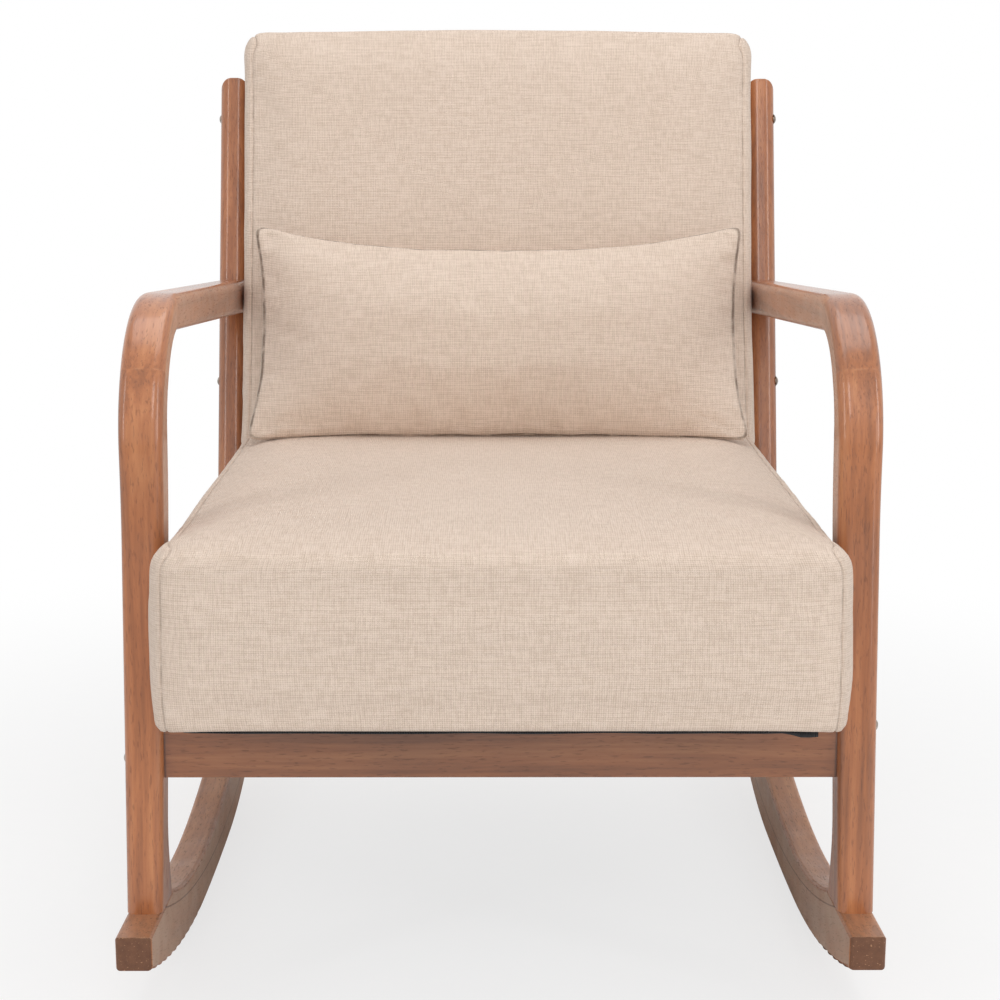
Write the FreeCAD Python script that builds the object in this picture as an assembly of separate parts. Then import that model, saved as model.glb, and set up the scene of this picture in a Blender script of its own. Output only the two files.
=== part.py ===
import FreeCAD, Part
import math
import os

# Upholstered rocking armchair: a stained wood frame on two bow rockers,
# with an upholstered seat, an upholstered back and a loose lumbar pillow.
# All sizes are millimetres. It is drawn as it rests, X across, Y to the rear from
# the front ends of the rockers and Z up from the floor, and is then moved back
# so that the origin lies on the floor under the middle of the rockers.

V = FreeCAD.Vector

# Overall sizes and fits
frame_width = 648.0
joint_gap = 0.3
hole_clearance = 0.15
overrun = 20.0

# Rockers
rocker_length = 836.0
rocker_thickness = 31.0
rocker_rest_y = 438.0
rocker_middle_radius = 3000.0
rocker_middle_front_run = 146.0
rocker_middle_rear_run = 40.0
rocker_front_radius = 925.0
rocker_rear_radius = 640.0
rocker_rear_run = 140.0
rocker_tail_radius = 1200.0
rocker_nose_depth = 30.0
rocker_tail_depth = 29.0
rocker_foot_height = 90.5
rocker_waist_y = 310.0
rocker_waist_depth = 48.2
rocker_heel_y = 478.0
rocker_heel_depth = 61.0
rocker_post_depth = 60.0
rocker_edge_radius = 4.0

# Front legs, elbows and arms: one bent line of three glued pieces
arm_width = 38.5
leg_depth = 40.0
foot_front_y = 52.0
foot_rear_y = 114.0
foot_flare_height = 62.0
foot_flare_radius = 110.0
leg_knee_y = 91.5
leg_straight_run = 59.0
leg_knee_radius = 500.0
arm_front_height = 623.0
arm_rear_height = 587.5
arm_front_thickness = 33.0
arm_rear_thickness = 37.0
elbow_outer_radius = 124.0
elbow_inner_radius = 75.0
elbow_lower_joint_degrees = 34.0
elbow_upper_joint_degrees = 80.0
frame_edge_radius = 9.0

# Rear posts
post_thickness = 33.0
post_knee_y = 650.5
post_knee_height = 300.0
post_knee_radius = 260.0
post_recline_degrees = 14.9
post_length = 530.0
post_depth = 47.0
post_top_depth = 34.0
post_foot_spread = 8.0
post_edge_radius = 13.0

# Rails under the seat
rail_bottom_height = 209.0
rail_height = 62.0
rail_thickness = 22.0
rear_rail_gap = 76.5
side_rail_inset = 6.0
corner_block_leg = 52.0
corner_block_height = 22.0

# Upholstered seat
seat_side_clearance = 0.3
seat_front_y = 8.0
seat_rear_gap = 38.5
seat_side_height = 140.0
seat_crown = 21.0
seat_corner_radius = 26.0
seat_edge_inset = 5.0
seat_side_draw = 3.0
seat_padding = 12.0
seat_frame_inset = 12.0
seat_board_thickness = 22.0
seat_board_height = 41.0
seat_board_corner_radius = 18.0
seat_strap_width = 50.0
seat_strap_thickness = 1.6
seat_long_strap_count = 5
seat_cross_strap_count = 4
seat_side_shares = ((0.0, 1.0), (0.1, 0.3), (0.4, 0.0), (0.84, 0.0), (1.0, 0.9))
seat_crown_shares = ((0.24, 0.04), (0.56, 0.11), (0.82, 0.25), (0.97, 0.5), (1.0, 0.66))
dust_cover_thickness = 1.2
dust_cover_inset = 3.0
dust_hem_drop = 4.0
dust_hem_width = 3.0

# Upholstered back, drawn upright in front of the posts and then reclined with them
back_side_clearance = 1.0
back_sink = 16.1
back_height = 455.0
back_front_depth = 92.0
back_rear_depth = 28.0
back_crown = 16.0
back_corner_radius = 31.0
back_edge_inset = 5.0
back_side_draw = 4.0
back_top_bow = 5.0
back_padding = 12.0
back_frame_inset = 12.0
back_board_thickness = 22.0
back_board_depth = 70.0
back_board_corner_radius = 24.0
back_panel_thickness = 3.0
back_strap_width = 50.0
back_strap_thickness = 1.6
back_strap_count = 6
back_side_shares = ((0.0, 1.0), (0.12, 0.3), (0.45, 0.0), (0.82, 0.0), (1.0, 1.1))
back_crown_shares = ((0.28, 0.05), (0.6, 0.13), (0.85, 0.27), (0.97, 0.48), (1.0, 0.62))

# Lumbar pillow, drawn upright in the back's frame
pillow_side_margin = 26.5
pillow_end_height = 232.0
pillow_waist_height = 200.0
pillow_thickness = 112.0
pillow_seam_thickness = 5.0
pillow_side_sag = 13.0
pillow_wall = 7.0
pillow_nestle = 0.5
pillow_rise = 7.0
pillow_thickness_shares = ((0.0, 1.0), (0.35, 0.97), (0.62, 0.84), (0.8, 0.62), (0.92, 0.3), (1.0, 0.1))

# Fasteners
bolt_radius = 3.0
bolt_head_radius = 5.5
bolt_head_height = 2.5
rail_bolt_length = 62.0
rail_bolt_spacing = 29.4
rail_bolt_inset = 6.0
barrel_nut_radius = 5.0
back_bolt_length = 62.0
back_bolt_low_margin = 76.0
back_bolt_high_margin = 70.0
back_bolt_depth = 13.6
back_bolt_stagger = 2.5
back_spacer_radius = 6.5
arm_bolt_length = 92.0
rocker_screw_length = 84.0
rocker_screw_head_radius = 6.0
rocker_screw_head_length = 6.0
rocker_screw_recess = 14.0
block_screw_length = 40.0
block_screw_radius = 2.2
block_screw_head_radius = 4.2
block_screw_head_length = 3.0
block_screw_offset = 14.0
dowel_radius = 4.0
dowel_length = 32.0
dowel_spacing = 24.0
elbow_dowel_spacing = 17.0

# Places worked out from the sizes above
outer_x = frame_width / 2
rocker_inner_x = outer_x - rocker_thickness
rocker_middle_x = outer_x - rocker_thickness / 2
arm_inner_x = outer_x - arm_width
arm_middle_x = outer_x - arm_width / 2
post_inner_x = outer_x - post_thickness
side_rail_x = outer_x - side_rail_inset - rail_thickness
side_rail_middle_x = side_rail_x + rail_thickness / 2
rail_top_height = rail_bottom_height + rail_height
rail_middle_height = rail_bottom_height + rail_height / 2
recline = math.radians(post_recline_degrees)
leg_knee_height = arm_front_height - elbow_outer_radius - leg_straight_run
reach = rocker_length + frame_width
across_x = V(1, 0, 0)
rearward = V(0, 1, 0)
upward = V(0, 0, 1)
inward = V(-1, 0, 0)

nodes = {}


def yz(y, z):
    """A point on the middle plane of the chair."""
    return V(0, y, z)


def mirrored(shape):
    """The same shape on the left-hand side."""
    return shape.mirror(V(0, 0, 0), across_x)


def rounded_wire(corners):
    """Closed wire of straight runs joined by tangent arcs, from (point, radius) corners."""
    runs = []
    count = len(corners)
    for index, (corner, radius) in enumerate(corners):
        back = (corners[index - 1][0] - corner).normalize()
        ahead = (corners[(index + 1) % count][0] - corner).normalize()
        half_angle = back.getAngle(ahead) / 2
        tangent = radius / math.tan(half_angle)
        inset = radius / math.sin(half_angle) - radius
        toward = (back + ahead).normalize()
        runs.append((corner + back * tangent, corner + toward * inset, corner + ahead * tangent, radius))
    edges = []
    for index, (start, middle, end, radius) in enumerate(runs):
        if radius:
            edges.append(Part.Arc(start, middle, end).toShape())
        following = runs[(index + 1) % count][0]
        edges.append(Part.LineSegment(end, following).toShape())
    return Part.Wire(edges)


def across(wire, near_x, far_x):
    """Solid between two X planes from an outline on the middle plane."""
    face = Part.Face(wire)
    face.translate(V(near_x, 0, 0))
    return face.extrude(V(far_x - near_x, 0, 0))


def soften(solid, radius, width):
    """Round the long edges of a piece sawn from a board that stands along Y and Z."""
    edges = [edge for edge in solid.Edges if edge.BoundBox.XLength < width / 2]
    return solid.makeFillet(radius, edges)


def box(low, high):
    """Solid box between two corners."""
    return Part.makeBox(high[0] - low[0], high[1] - low[1], high[2] - low[2], V(*low))


def pin(start, direction, length, radius):
    """Solid cylinder from a point along a direction."""
    return Part.makeCylinder(radius, length, start, direction)


def half_space(point, normal):
    """Large block on the side of a plane that its normal points to."""
    block = Part.makeBox(2 * reach, 2 * reach, reach, V(-reach, -reach, 0))
    block.Placement = FreeCAD.Placement(point, FreeCAD.Rotation(upward, normal))
    return block


def reclined(shape):
    """Turn a shape drawn upright on the posts' front plane to where the posts lean."""
    placed = shape.copy()
    placed.rotate(V(0, 0, 0), across_x, -post_recline_degrees)
    placed.translate(yz(post_knee_y, post_knee_height))
    return placed


def reclined_point(x, depth, height):
    """The place of a point drawn upright on the posts' front plane."""
    y = post_knee_y + depth * math.cos(recline) + height * math.sin(recline)
    z = post_knee_height - depth * math.sin(recline) + height * math.cos(recline)
    return V(x, y, z)


post_normal = V(0, math.cos(recline), -math.sin(recline))


# Rockers: tangent arcs below, a pad for the leg and one for the post above
rocker_front_arcs = (
    (rocker_middle_front_run, rocker_middle_radius),
    (rocker_rest_y - rocker_middle_front_run, rocker_front_radius),
)
rocker_rear_arcs = (
    (rocker_middle_rear_run, rocker_middle_radius),
    (rocker_rear_run, rocker_rear_radius),
    (rocker_length - rocker_rest_y - rocker_middle_rear_run - rocker_rear_run, rocker_tail_radius),
)


def underside(y, above=0):
    """Point on the rocker's underside, or a stated depth above it."""
    remaining = abs(y - rocker_rest_y)
    height = 0
    slope = 0
    for run, radius in rocker_front_arcs if y < rocker_rest_y else rocker_rear_arcs:
        step = min(remaining, run)
        turned = math.asin(math.sin(slope) + step / radius)
        height += radius * (math.cos(slope) - math.cos(turned))
        remaining -= step
        slope = turned
    return yz(y, height + above)


def underside_edges():
    """The arcs of the rocker's underside from nose to tail."""
    joints = [0, rocker_rest_y - rocker_middle_front_run, rocker_rest_y]
    for run, radius in rocker_rear_arcs:
        joints.append(joints[-1] + run)
    edges = []
    for start, end in zip(joints, joints[1:]):
        middle = (start + end) / 2
        edges.append(Part.Arc(underside(start), underside(middle), underside(end)).toShape())
    return edges


nose_top = underside(0, rocker_nose_depth)
foot_pad_rear = yz(foot_rear_y, rocker_foot_height)
post_pad_front = underside(post_knee_y, rocker_post_depth)
post_pad_rear = underside(post_knee_y + post_depth + post_foot_spread, rocker_post_depth)
tail_top = underside(rocker_length, rocker_tail_depth)


def pad_normal(front, rear):
    """Downward normal of a pad between two points."""
    run = rear - front
    return V(0, run.z, -run.y).normalize()


def make_rocker():
    """Right-hand rocker."""
    sweep = Part.BSplineCurve()
    sweep.interpolate([
        foot_pad_rear,
        underside(rocker_waist_y, rocker_waist_depth),
        underside(rocker_heel_y, rocker_heel_depth),
        post_pad_front,
    ])
    outline = [tail_top, post_pad_rear, post_pad_front]
    edges = underside_edges()
    edges.append(Part.LineSegment(underside(rocker_length), tail_top).toShape())
    for start, end in zip(outline, outline[1:]):
        edges.append(Part.LineSegment(start, end).toShape())
    edges.append(sweep.toShape())
    edges.append(Part.LineSegment(foot_pad_rear, nose_top).toShape())
    edges.append(Part.LineSegment(nose_top, underside(0)).toShape())
    wire = Part.Wire(Part.__sortEdges__(edges))
    return soften(across(wire, rocker_inner_x, outer_x), rocker_edge_radius, rocker_thickness)


# Front leg, elbow and arm
def leg_front_y(height):
    """Front face of the leg below its knee."""
    lean = (leg_knee_y - foot_front_y) / (leg_knee_height - rocker_foot_height)
    return foot_front_y + lean * (height - rocker_foot_height)


def arm_line(y, drop_front, drop_rear):
    """Point on the arm's top line, or a stated drop below it at the front and the rear."""
    share = (y - leg_knee_y) / (post_knee_y - leg_knee_y)
    front = arm_front_height - drop_front
    rear = arm_rear_height - drop_rear
    return yz(y, front + (rear - front) * share)


def make_side_line():
    """Outline of the leg, elbow and arm as one bent board."""
    arm_end = post_knee_y + post_depth + leg_knee_y
    start_height = rocker_foot_height - overrun
    flare_y = leg_front_y(rocker_foot_height + foot_flare_height) + leg_depth
    flare_lean = (foot_rear_y - flare_y) / foot_flare_height
    inner_y = leg_knee_y + leg_depth
    return rounded_wire([
        (yz(leg_front_y(start_height), start_height), 0),
        (yz(leg_knee_y, leg_knee_height), leg_knee_radius),
        (arm_line(leg_knee_y, 0, 0), elbow_outer_radius),
        (arm_line(arm_end, 0, 0), 0),
        (arm_line(arm_end, arm_front_thickness, arm_rear_thickness), 0),
        (arm_line(inner_y, arm_front_thickness, arm_rear_thickness), elbow_inner_radius),
        (yz(inner_y, leg_knee_height), leg_knee_radius),
        (yz(flare_y, rocker_foot_height + foot_flare_height), foot_flare_radius),
        (yz(foot_rear_y + flare_lean * overrun, start_height), 0),
    ])


elbow_centre = arm_line(leg_knee_y + elbow_outer_radius, elbow_outer_radius, elbow_outer_radius)


def elbow_normal(degrees):
    """Direction along the bent line at an elbow joint, towards the arm."""
    angle = math.radians(degrees)
    return V(0, math.sin(angle), math.cos(angle))


def elbow_point(degrees):
    """Middle of an elbow joint."""
    angle = math.radians(degrees)
    radius = elbow_outer_radius - leg_depth / 2
    spot = elbow_centre + V(0, -math.cos(angle), math.sin(angle)) * radius
    return V(arm_middle_x, spot.y, spot.z)


def leg_inner_x(height):
    """Inner face of the right-hand leg, which runs from the rocker's width to the arm's."""
    joint_height = elbow_point(elbow_lower_joint_degrees).z
    share = (height - rocker_foot_height) / (joint_height - rocker_foot_height)
    return rocker_inner_x + (arm_inner_x - rocker_inner_x) * share


def make_arm_pieces():
    """Right-hand leg, elbow and arm."""
    line = make_side_line()
    above_low = half_space(elbow_centre, elbow_normal(elbow_lower_joint_degrees))
    above_high = half_space(elbow_centre, elbow_normal(elbow_upper_joint_degrees))
    joint_height = elbow_point(elbow_lower_joint_degrees).z
    foot = V(rocker_inner_x, 0, rocker_foot_height)
    taper = V(arm_inner_x, 0, joint_height) - foot
    inner_side = half_space(foot, V(-taper.z, 0, taper.x).normalize())
    leg = across(line, arm_inner_x - overrun, outer_x).cut(inner_side)
    leg = soften(leg, frame_edge_radius, arm_width).cut(above_low)
    leg = leg.cut(half_space(foot_pad_rear, pad_normal(nose_top, foot_pad_rear)))
    bent = soften(across(line, arm_inner_x, outer_x), frame_edge_radius, arm_width)
    elbow = bent.common(above_low).cut(above_high)
    post_plane = half_space(reclined_point(0, 0, 0), post_normal)
    arm = bent.common(above_high).cut(post_plane)
    return leg, elbow, arm


def make_post():
    """Right-hand rear post, upright to the knee and leaning above it."""
    fall = yz(0, -overrun)
    line = rounded_wire([
        (post_pad_front + fall, 0),
        (yz(post_knee_y, post_knee_height), post_knee_radius),
        (reclined_point(0, 0, post_length), 0),
        (reclined_point(0, post_top_depth, post_length), 0),
        (reclined_point(0, post_depth, 0), post_knee_radius),
        (post_pad_rear + fall, 0),
    ])
    blank = soften(across(line, post_inner_x, outer_x), post_edge_radius, post_thickness)
    return blank.cut(half_space(post_pad_front, pad_normal(post_pad_front, post_pad_rear)))


rocker = make_rocker()
leg, elbow, arm = make_arm_pieces()
post = make_post()


# Rails, scribed to the pieces that they meet
front_rail_y = leg_front_y(rail_middle_height) + (leg_depth - rail_thickness) / 2
rear_rail_y = post_knee_y - rear_rail_gap


def scribed(solid, others):
    """A rail cut back to the faces that it butts against."""
    for other in others:
        solid = solid.cut(other)
    return solid


front_rail = scribed(
    box((-rocker_middle_x, front_rail_y, rail_bottom_height),
        (rocker_middle_x, front_rail_y + rail_thickness, rail_top_height)),
    [leg, mirrored(leg)])
side_rail = scribed(
    box((side_rail_x, leg_knee_y, rail_bottom_height),
        (side_rail_x + rail_thickness, post_knee_y + post_depth / 2, rail_top_height)),
    [leg, post])
rear_rail = box((-side_rail_x, rear_rail_y, rail_bottom_height),
                (side_rail_x, rear_rail_y + rail_thickness, rail_top_height))


def corner_block(corner_y, toward):
    """Right-hand glue block in the corner of two rails."""
    bottom = rail_top_height - corner_block_height
    face = Part.Face(Part.makePolygon([
        V(side_rail_x, corner_y, bottom),
        V(side_rail_x - corner_block_leg, corner_y, bottom),
        V(side_rail_x, corner_y + toward * corner_block_leg, bottom),
        V(side_rail_x, corner_y, bottom),
    ]))
    return face.extrude(V(0, 0, corner_block_height))


front_block = scribed(corner_block(front_rail_y + rail_thickness, 1), [leg])
rear_block = corner_block(rear_rail_y, -1)


# Seat between the legs, back between the arms and posts, pillow on the seat against the back
seat_bottom_height = rail_top_height + dust_cover_thickness
seat_shoulder_height = seat_bottom_height + seat_side_height
seat_half_width = leg_inner_x(seat_shoulder_height) - seat_side_clearance
seat_rear_y = post_knee_y - seat_rear_gap
seat_frame_top = seat_bottom_height + seat_board_height
seat_frame_half = seat_half_width - seat_frame_inset
seat_frame_front = seat_front_y + seat_frame_inset
seat_frame_rear = seat_rear_y - seat_frame_inset
seat_strap_top = seat_frame_top + 2 * seat_strap_thickness
back_half_width = min(post_inner_x, arm_inner_x + back_side_draw) - back_side_clearance
back_bottom = (seat_shoulder_height - post_knee_height) / math.cos(recline) - back_sink
back_top = back_bottom + back_height
back_frame_half = back_half_width - back_frame_inset
back_frame_low = back_bottom + back_frame_inset
back_frame_high = back_top - back_frame_inset
back_frame_rear = back_rear_depth - back_panel_thickness
back_frame_front = back_frame_rear - back_board_depth
pillow_half_width = back_half_width - pillow_side_margin
pillow_middle_depth = pillow_nestle - back_front_depth - back_crown - pillow_thickness / 2
pillow_fall = seat_shoulder_height + seat_crown - post_knee_height + pillow_middle_depth * math.sin(recline)
pillow_bottom = pillow_fall / math.cos(recline) + pillow_rise
pillow_middle_height = pillow_bottom + pillow_waist_height / 2


# Cushions: bowed outlines stacked into one form
def cushion_wire(level, half_x, low, high, corner, draws):
    """Closed outline at a level, its low, side and high edges drawn in by stated amounts."""
    low_draw, side_draw, high_draw = draws
    middle = (low + high) / 2
    shoulder = corner * (1 - math.sqrt(1 / 2))
    inner_x = half_x - corner
    stops = [
        (-inner_x, low), (0, low + low_draw), (inner_x, low),
        (half_x - shoulder, low + shoulder), (half_x, low + corner),
        (half_x - side_draw, middle), (half_x, high - corner),
        (half_x - shoulder, high - shoulder), (inner_x, high),
        (0, high - high_draw), (-inner_x, high),
        (shoulder - half_x, high - shoulder), (-half_x, high - corner),
        (side_draw - half_x, middle), (-half_x, low + corner),
        (shoulder - half_x, low + shoulder), (-inner_x, low),
    ]
    points = [V(x, y, level) for x, y in stops]
    edges = [Part.Arc(*points[start:start + 3]).toShape() for start in range(0, len(points) - 1, 2)]
    return Part.Wire(edges)


def cushion_form(size, shrink):
    """Loft of outlines up the sides of a cushion and over its crown."""
    half_x = size["half"] - shrink
    low = size["low"] + shrink
    high = size["high"] - shrink
    half_y = (high - low) / 2
    sides = size["top"] - size["bottom"]
    wires = []
    for level_share, inset_share in size["side_shares"]:
        inset = inset_share * size["edge_inset"]
        level = size["bottom"] + level_share * (sides - shrink)
        corner = size["corner"] + inset - shrink / 2
        wires.append(cushion_wire(
            level, half_x - inset, low + inset, high - inset, corner, size["draws"]))
    for level_share, inset_share in size["crown_shares"]:
        level = size["top"] - shrink + level_share * size["crown"]
        corner = size["corner"] + half_y * inset_share / 4
        wires.append(cushion_wire(
            level, half_x * (1 - inset_share), low + half_y * inset_share,
            high - half_y * inset_share, corner, size["draws"]))
    return Part.makeLoft(wires, True, True)


seat_size = {
    "half": seat_half_width,
    "low": seat_front_y,
    "high": seat_rear_y,
    "bottom": seat_bottom_height,
    "top": seat_shoulder_height,
    "crown": seat_crown,
    "corner": seat_corner_radius,
    "edge_inset": seat_edge_inset,
    "draws": (seat_side_draw / 2, seat_side_draw, seat_side_draw),
    "side_shares": seat_side_shares,
    "crown_shares": seat_crown_shares,
}
back_size = {
    "half": back_half_width,
    "low": back_bottom,
    "high": back_top,
    "bottom": -back_rear_depth,
    "top": back_front_depth,
    "crown": back_crown,
    "corner": back_corner_radius,
    "edge_inset": back_edge_inset,
    "draws": (back_side_draw, back_side_draw, -back_top_bow),
    "side_shares": back_side_shares,
    "crown_shares": back_crown_shares,
}


def plate(half_x, low, high, radius, along, depth):
    """Block with rounded corners: an outline across the chair and along one axis, given a depth."""
    corners = [across_x * -half_x + along * low, across_x * half_x + along * low,
               across_x * half_x + along * high, across_x * -half_x + along * high]
    return Part.Face(rounded_wire([(corner, radius) for corner in corners])).extrude(depth)


def seat_block(growth, low, high):
    """The room that the seat's inner frame fills, or that room with play around it."""
    block = plate(seat_frame_half + growth, seat_frame_front - growth, seat_frame_rear + growth,
                  seat_board_corner_radius + growth, rearward, upward * (high - low))
    block.translate(yz(0, low))
    return block


def make_seat():
    """Cover with its padding, and the foam block inside it."""
    pocket = seat_block(joint_gap, seat_bottom_height - overrun, seat_strap_top + joint_gap)
    cover = cushion_form(seat_size, 0).cut(cushion_form(seat_size, seat_padding)).cut(pocket)
    foam = cushion_form(seat_size, seat_padding + joint_gap)
    return cover, foam.cut(half_space(yz(0, seat_strap_top + joint_gap), -upward))


def seat_boards():
    """Side, front and rear boards of the seat's inner frame."""
    low = seat_bottom_height
    side_x = seat_frame_half - seat_board_thickness
    front_end = seat_frame_front + seat_board_thickness
    rear_end = seat_frame_rear - seat_board_thickness
    side = box((side_x, seat_frame_front, low), (seat_frame_half, seat_frame_rear, seat_frame_top))
    side = side.common(seat_block(0, low, seat_frame_top))
    front = box((-side_x, seat_frame_front, low), (side_x, front_end, seat_frame_top))
    rear = box((-side_x, rear_end, low), (side_x, seat_frame_rear, seat_frame_top))
    return side, front, rear


def spread(count, low, high):
    """Evenly spaced middles between two ends."""
    pitch = (high - low) / count
    return [low + pitch * (index + 1 / 2) for index in range(count)]


def seat_straps():
    """Webbing stretched lengthwise over the boards, and across it on top."""
    half = seat_strap_width / 2
    layer = seat_frame_top + seat_strap_thickness
    lengthwise = [
        box((x - half, seat_frame_front, seat_frame_top), (x + half, seat_frame_rear, layer))
        for x in spread(seat_long_strap_count, -seat_frame_half, seat_frame_half)]
    crosswise = [
        box((-seat_frame_half, y - half, layer), (seat_frame_half, y + half, seat_strap_top))
        for y in spread(seat_cross_strap_count, seat_frame_front, seat_frame_rear)]
    return lengthwise, crosswise


def make_dust_cover():
    """Thin cloth under the seat with a hem that hangs along its front edge."""
    inset = seat_edge_inset + dust_cover_inset
    half = seat_half_width - inset
    front = seat_front_y + inset
    sheet = plate(half, front, seat_rear_y - inset, seat_corner_radius, rearward,
                  upward * dust_cover_thickness)
    sheet.translate(yz(0, rail_top_height))
    hem_half = half - seat_corner_radius
    hem = box((-hem_half, front, rail_top_height - dust_hem_drop),
              (hem_half, front + dust_hem_width, rail_top_height))
    return sheet.fuse(hem).removeSplitter()


def stood_up(shape):
    """Turn a form built in layers so that its layers run forward from the posts."""
    placed = shape.copy()
    placed.rotate(V(0, 0, 0), across_x, math.degrees(math.pi / 2))
    return placed


def back_block(growth, front, rear):
    """The room that the back's inner frame fills, or that room with play around it, upright."""
    block = plate(back_frame_half + growth, back_frame_low - growth, back_frame_high + growth,
                  back_board_corner_radius + growth, upward, rearward * (rear - front))
    block.translate(yz(front, 0))
    return block


def make_back():
    """Cover with its padding, and the foam block inside it, both upright."""
    strap_front = back_frame_front - back_strap_thickness - joint_gap
    pocket = back_block(joint_gap, strap_front, back_rear_depth + overrun)
    cover = cushion_form(back_size, 0).cut(cushion_form(back_size, back_padding))
    foam = stood_up(cushion_form(back_size, back_padding + joint_gap))
    return stood_up(cover).cut(pocket), foam.cut(half_space(yz(strap_front, 0), rearward))


def back_boards():
    """Stile, bottom board and top board of the back's inner frame, upright."""
    inner = back_frame_half - back_board_thickness
    stile = box((inner, back_frame_front, back_frame_low),
                (back_frame_half, back_frame_rear, back_frame_high))
    stile = stile.common(back_block(0, back_frame_front, back_frame_rear))
    bottom = box((-inner, back_frame_front, back_frame_low),
                 (inner, back_frame_rear, back_frame_low + back_board_thickness))
    top = box((-inner, back_frame_front, back_frame_high - back_board_thickness),
              (inner, back_frame_rear, back_frame_high))
    return stile, bottom, top


def back_straps():
    """Webbing across the front of the back's boards, upright."""
    half = back_strap_width / 2
    front = back_frame_front - back_strap_thickness
    room = back_block(0, front, back_frame_front)
    return [
        box((-back_frame_half, front, height - half), (back_frame_half, back_frame_front, height + half))
        .common(room) for height in spread(back_strap_count, back_frame_low, back_frame_high)]


# Lumbar pillow: lens sections across its width, its ends cut hollow
def pillow_section(x, half_height, half_thickness, half_seam):
    """Lens-shaped outline across the pillow."""
    low = pillow_middle_height - half_height
    high = pillow_middle_height + half_height
    near = pillow_middle_depth - half_seam
    far = pillow_middle_depth + half_seam
    front = V(x, pillow_middle_depth - half_thickness, pillow_middle_height)
    rear = V(x, pillow_middle_depth + half_thickness, pillow_middle_height)
    return Part.Wire([
        Part.Arc(V(x, near, low), front, V(x, near, high)).toShape(),
        Part.LineSegment(V(x, near, high), V(x, far, high)).toShape(),
        Part.Arc(V(x, far, high), rear, V(x, far, low)).toShape(),
        Part.LineSegment(V(x, far, low), V(x, near, low)).toShape(),
    ])


def pillow_form(shrink):
    """The pillow, or the room inside its cover."""
    half_width = pillow_half_width - shrink
    half_seam = pillow_seam_thickness / 2
    shares = [(-x, share) for x, share in reversed(pillow_thickness_shares[1:])]
    shares.extend(pillow_thickness_shares)
    wires = []
    for x_share, thickness_share in shares:
        flare = (pillow_end_height - pillow_waist_height) * x_share * x_share
        half_height = (pillow_waist_height + flare) / 2 - shrink
        half_thickness = half_seam + (pillow_thickness / 2 - half_seam - shrink) * thickness_share
        wires.append(pillow_section(half_width * x_share, half_height, half_thickness, half_seam / 2))
    form = Part.makeLoft(wires, True, False)
    half_end = pillow_end_height / 2
    hollow = (half_end * half_end + pillow_side_sag * pillow_side_sag) / (2 * pillow_side_sag)
    middle_x = half_width - pillow_side_sag + hollow
    for side in (-1, 1):
        start = V(side * middle_x, pillow_middle_depth - pillow_thickness, pillow_middle_height)
        form = form.cut(pin(start, rearward, 2 * pillow_thickness, hollow))
    return form


# Fasteners
def domed_bolt(seat, direction, length):
    """Bolt with a low domed head that stands on a surface, its shank running inwards."""
    ball = (bolt_head_radius * bolt_head_radius + bolt_head_height * bolt_head_height) / (2 * bolt_head_height)
    half_turn = math.asin(bolt_head_radius / ball) / 2
    crown = V(0, 0, bolt_head_height)
    shoulder = V(ball * math.sin(half_turn), 0, bolt_head_height - ball * (1 - math.cos(half_turn)))
    rim = V(bolt_head_radius, 0, 0)
    stops = [rim, V(bolt_radius, 0, 0), V(bolt_radius, 0, -length), V(0, 0, -length), crown]
    edges = [Part.LineSegment(start, end).toShape() for start, end in zip(stops, stops[1:])]
    edges.append(Part.Arc(crown, shoulder, rim).toShape())
    bolt = Part.Face(Part.Wire(edges)).revolve(V(0, 0, 0), upward, 360)
    bolt.Placement = FreeCAD.Placement(seat, FreeCAD.Rotation(upward, -direction))
    return bolt


def headed_screw(start, direction, length, radius, head_radius, head_length):
    """Screw with a cylindrical head, from the bottom of its recess."""
    head = pin(start, direction, head_length, head_radius)
    return head.fuse(pin(start, direction, length, radius)).removeSplitter()


def hole(start, direction, length, radius):
    """Clearance hole for a pin of that radius."""
    return pin(start, direction, length, radius + hole_clearance)


def dowel(middle, axis):
    """Dowel across a joint, and its hole."""
    start = middle - axis * (dowel_length / 2)
    room = hole(start - axis * hole_clearance, axis, dowel_length + 2 * hole_clearance, dowel_radius)
    return pin(start, axis, dowel_length, dowel_radius), room


rail_bolt_ys = (front_rail_y + rail_bolt_inset, front_rail_y + rail_thickness - rail_bolt_inset)
rail_bolt_heights = (rail_middle_height + rail_bolt_spacing / 2, rail_middle_height - rail_bolt_spacing / 2)


def rail_bolt_set(heights):
    """Bolts, nuts and their holes for the right-hand end of the front rail."""
    bolts = []
    nuts = []
    holes = []
    for y, height in zip(rail_bolt_ys, heights):
        start = V(outer_x, y, height)
        bolts.append(domed_bolt(start, inward, rail_bolt_length))
        room = hole(start, inward, rail_bolt_length + hole_clearance, bolt_radius)
        nut_start = V(outer_x - rail_bolt_length + barrel_nut_radius, y - barrel_nut_radius, height)
        nut = pin(nut_start, rearward, 2 * barrel_nut_radius, barrel_nut_radius)
        nuts.append(nut.cut(room))
        depth = front_rail_y + rail_thickness - nut_start.y
        holes.extend([room, hole(nut_start, rearward, depth, barrel_nut_radius)])
    return bolts, nuts, holes


right_bolts, right_nuts, right_rail_holes = rail_bolt_set(rail_bolt_heights)
left_bolts, left_nuts, left_rail_holes = [
    [mirrored(shape) for shape in group] for group in rail_bolt_set(rail_bolt_heights[::-1])]


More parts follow.
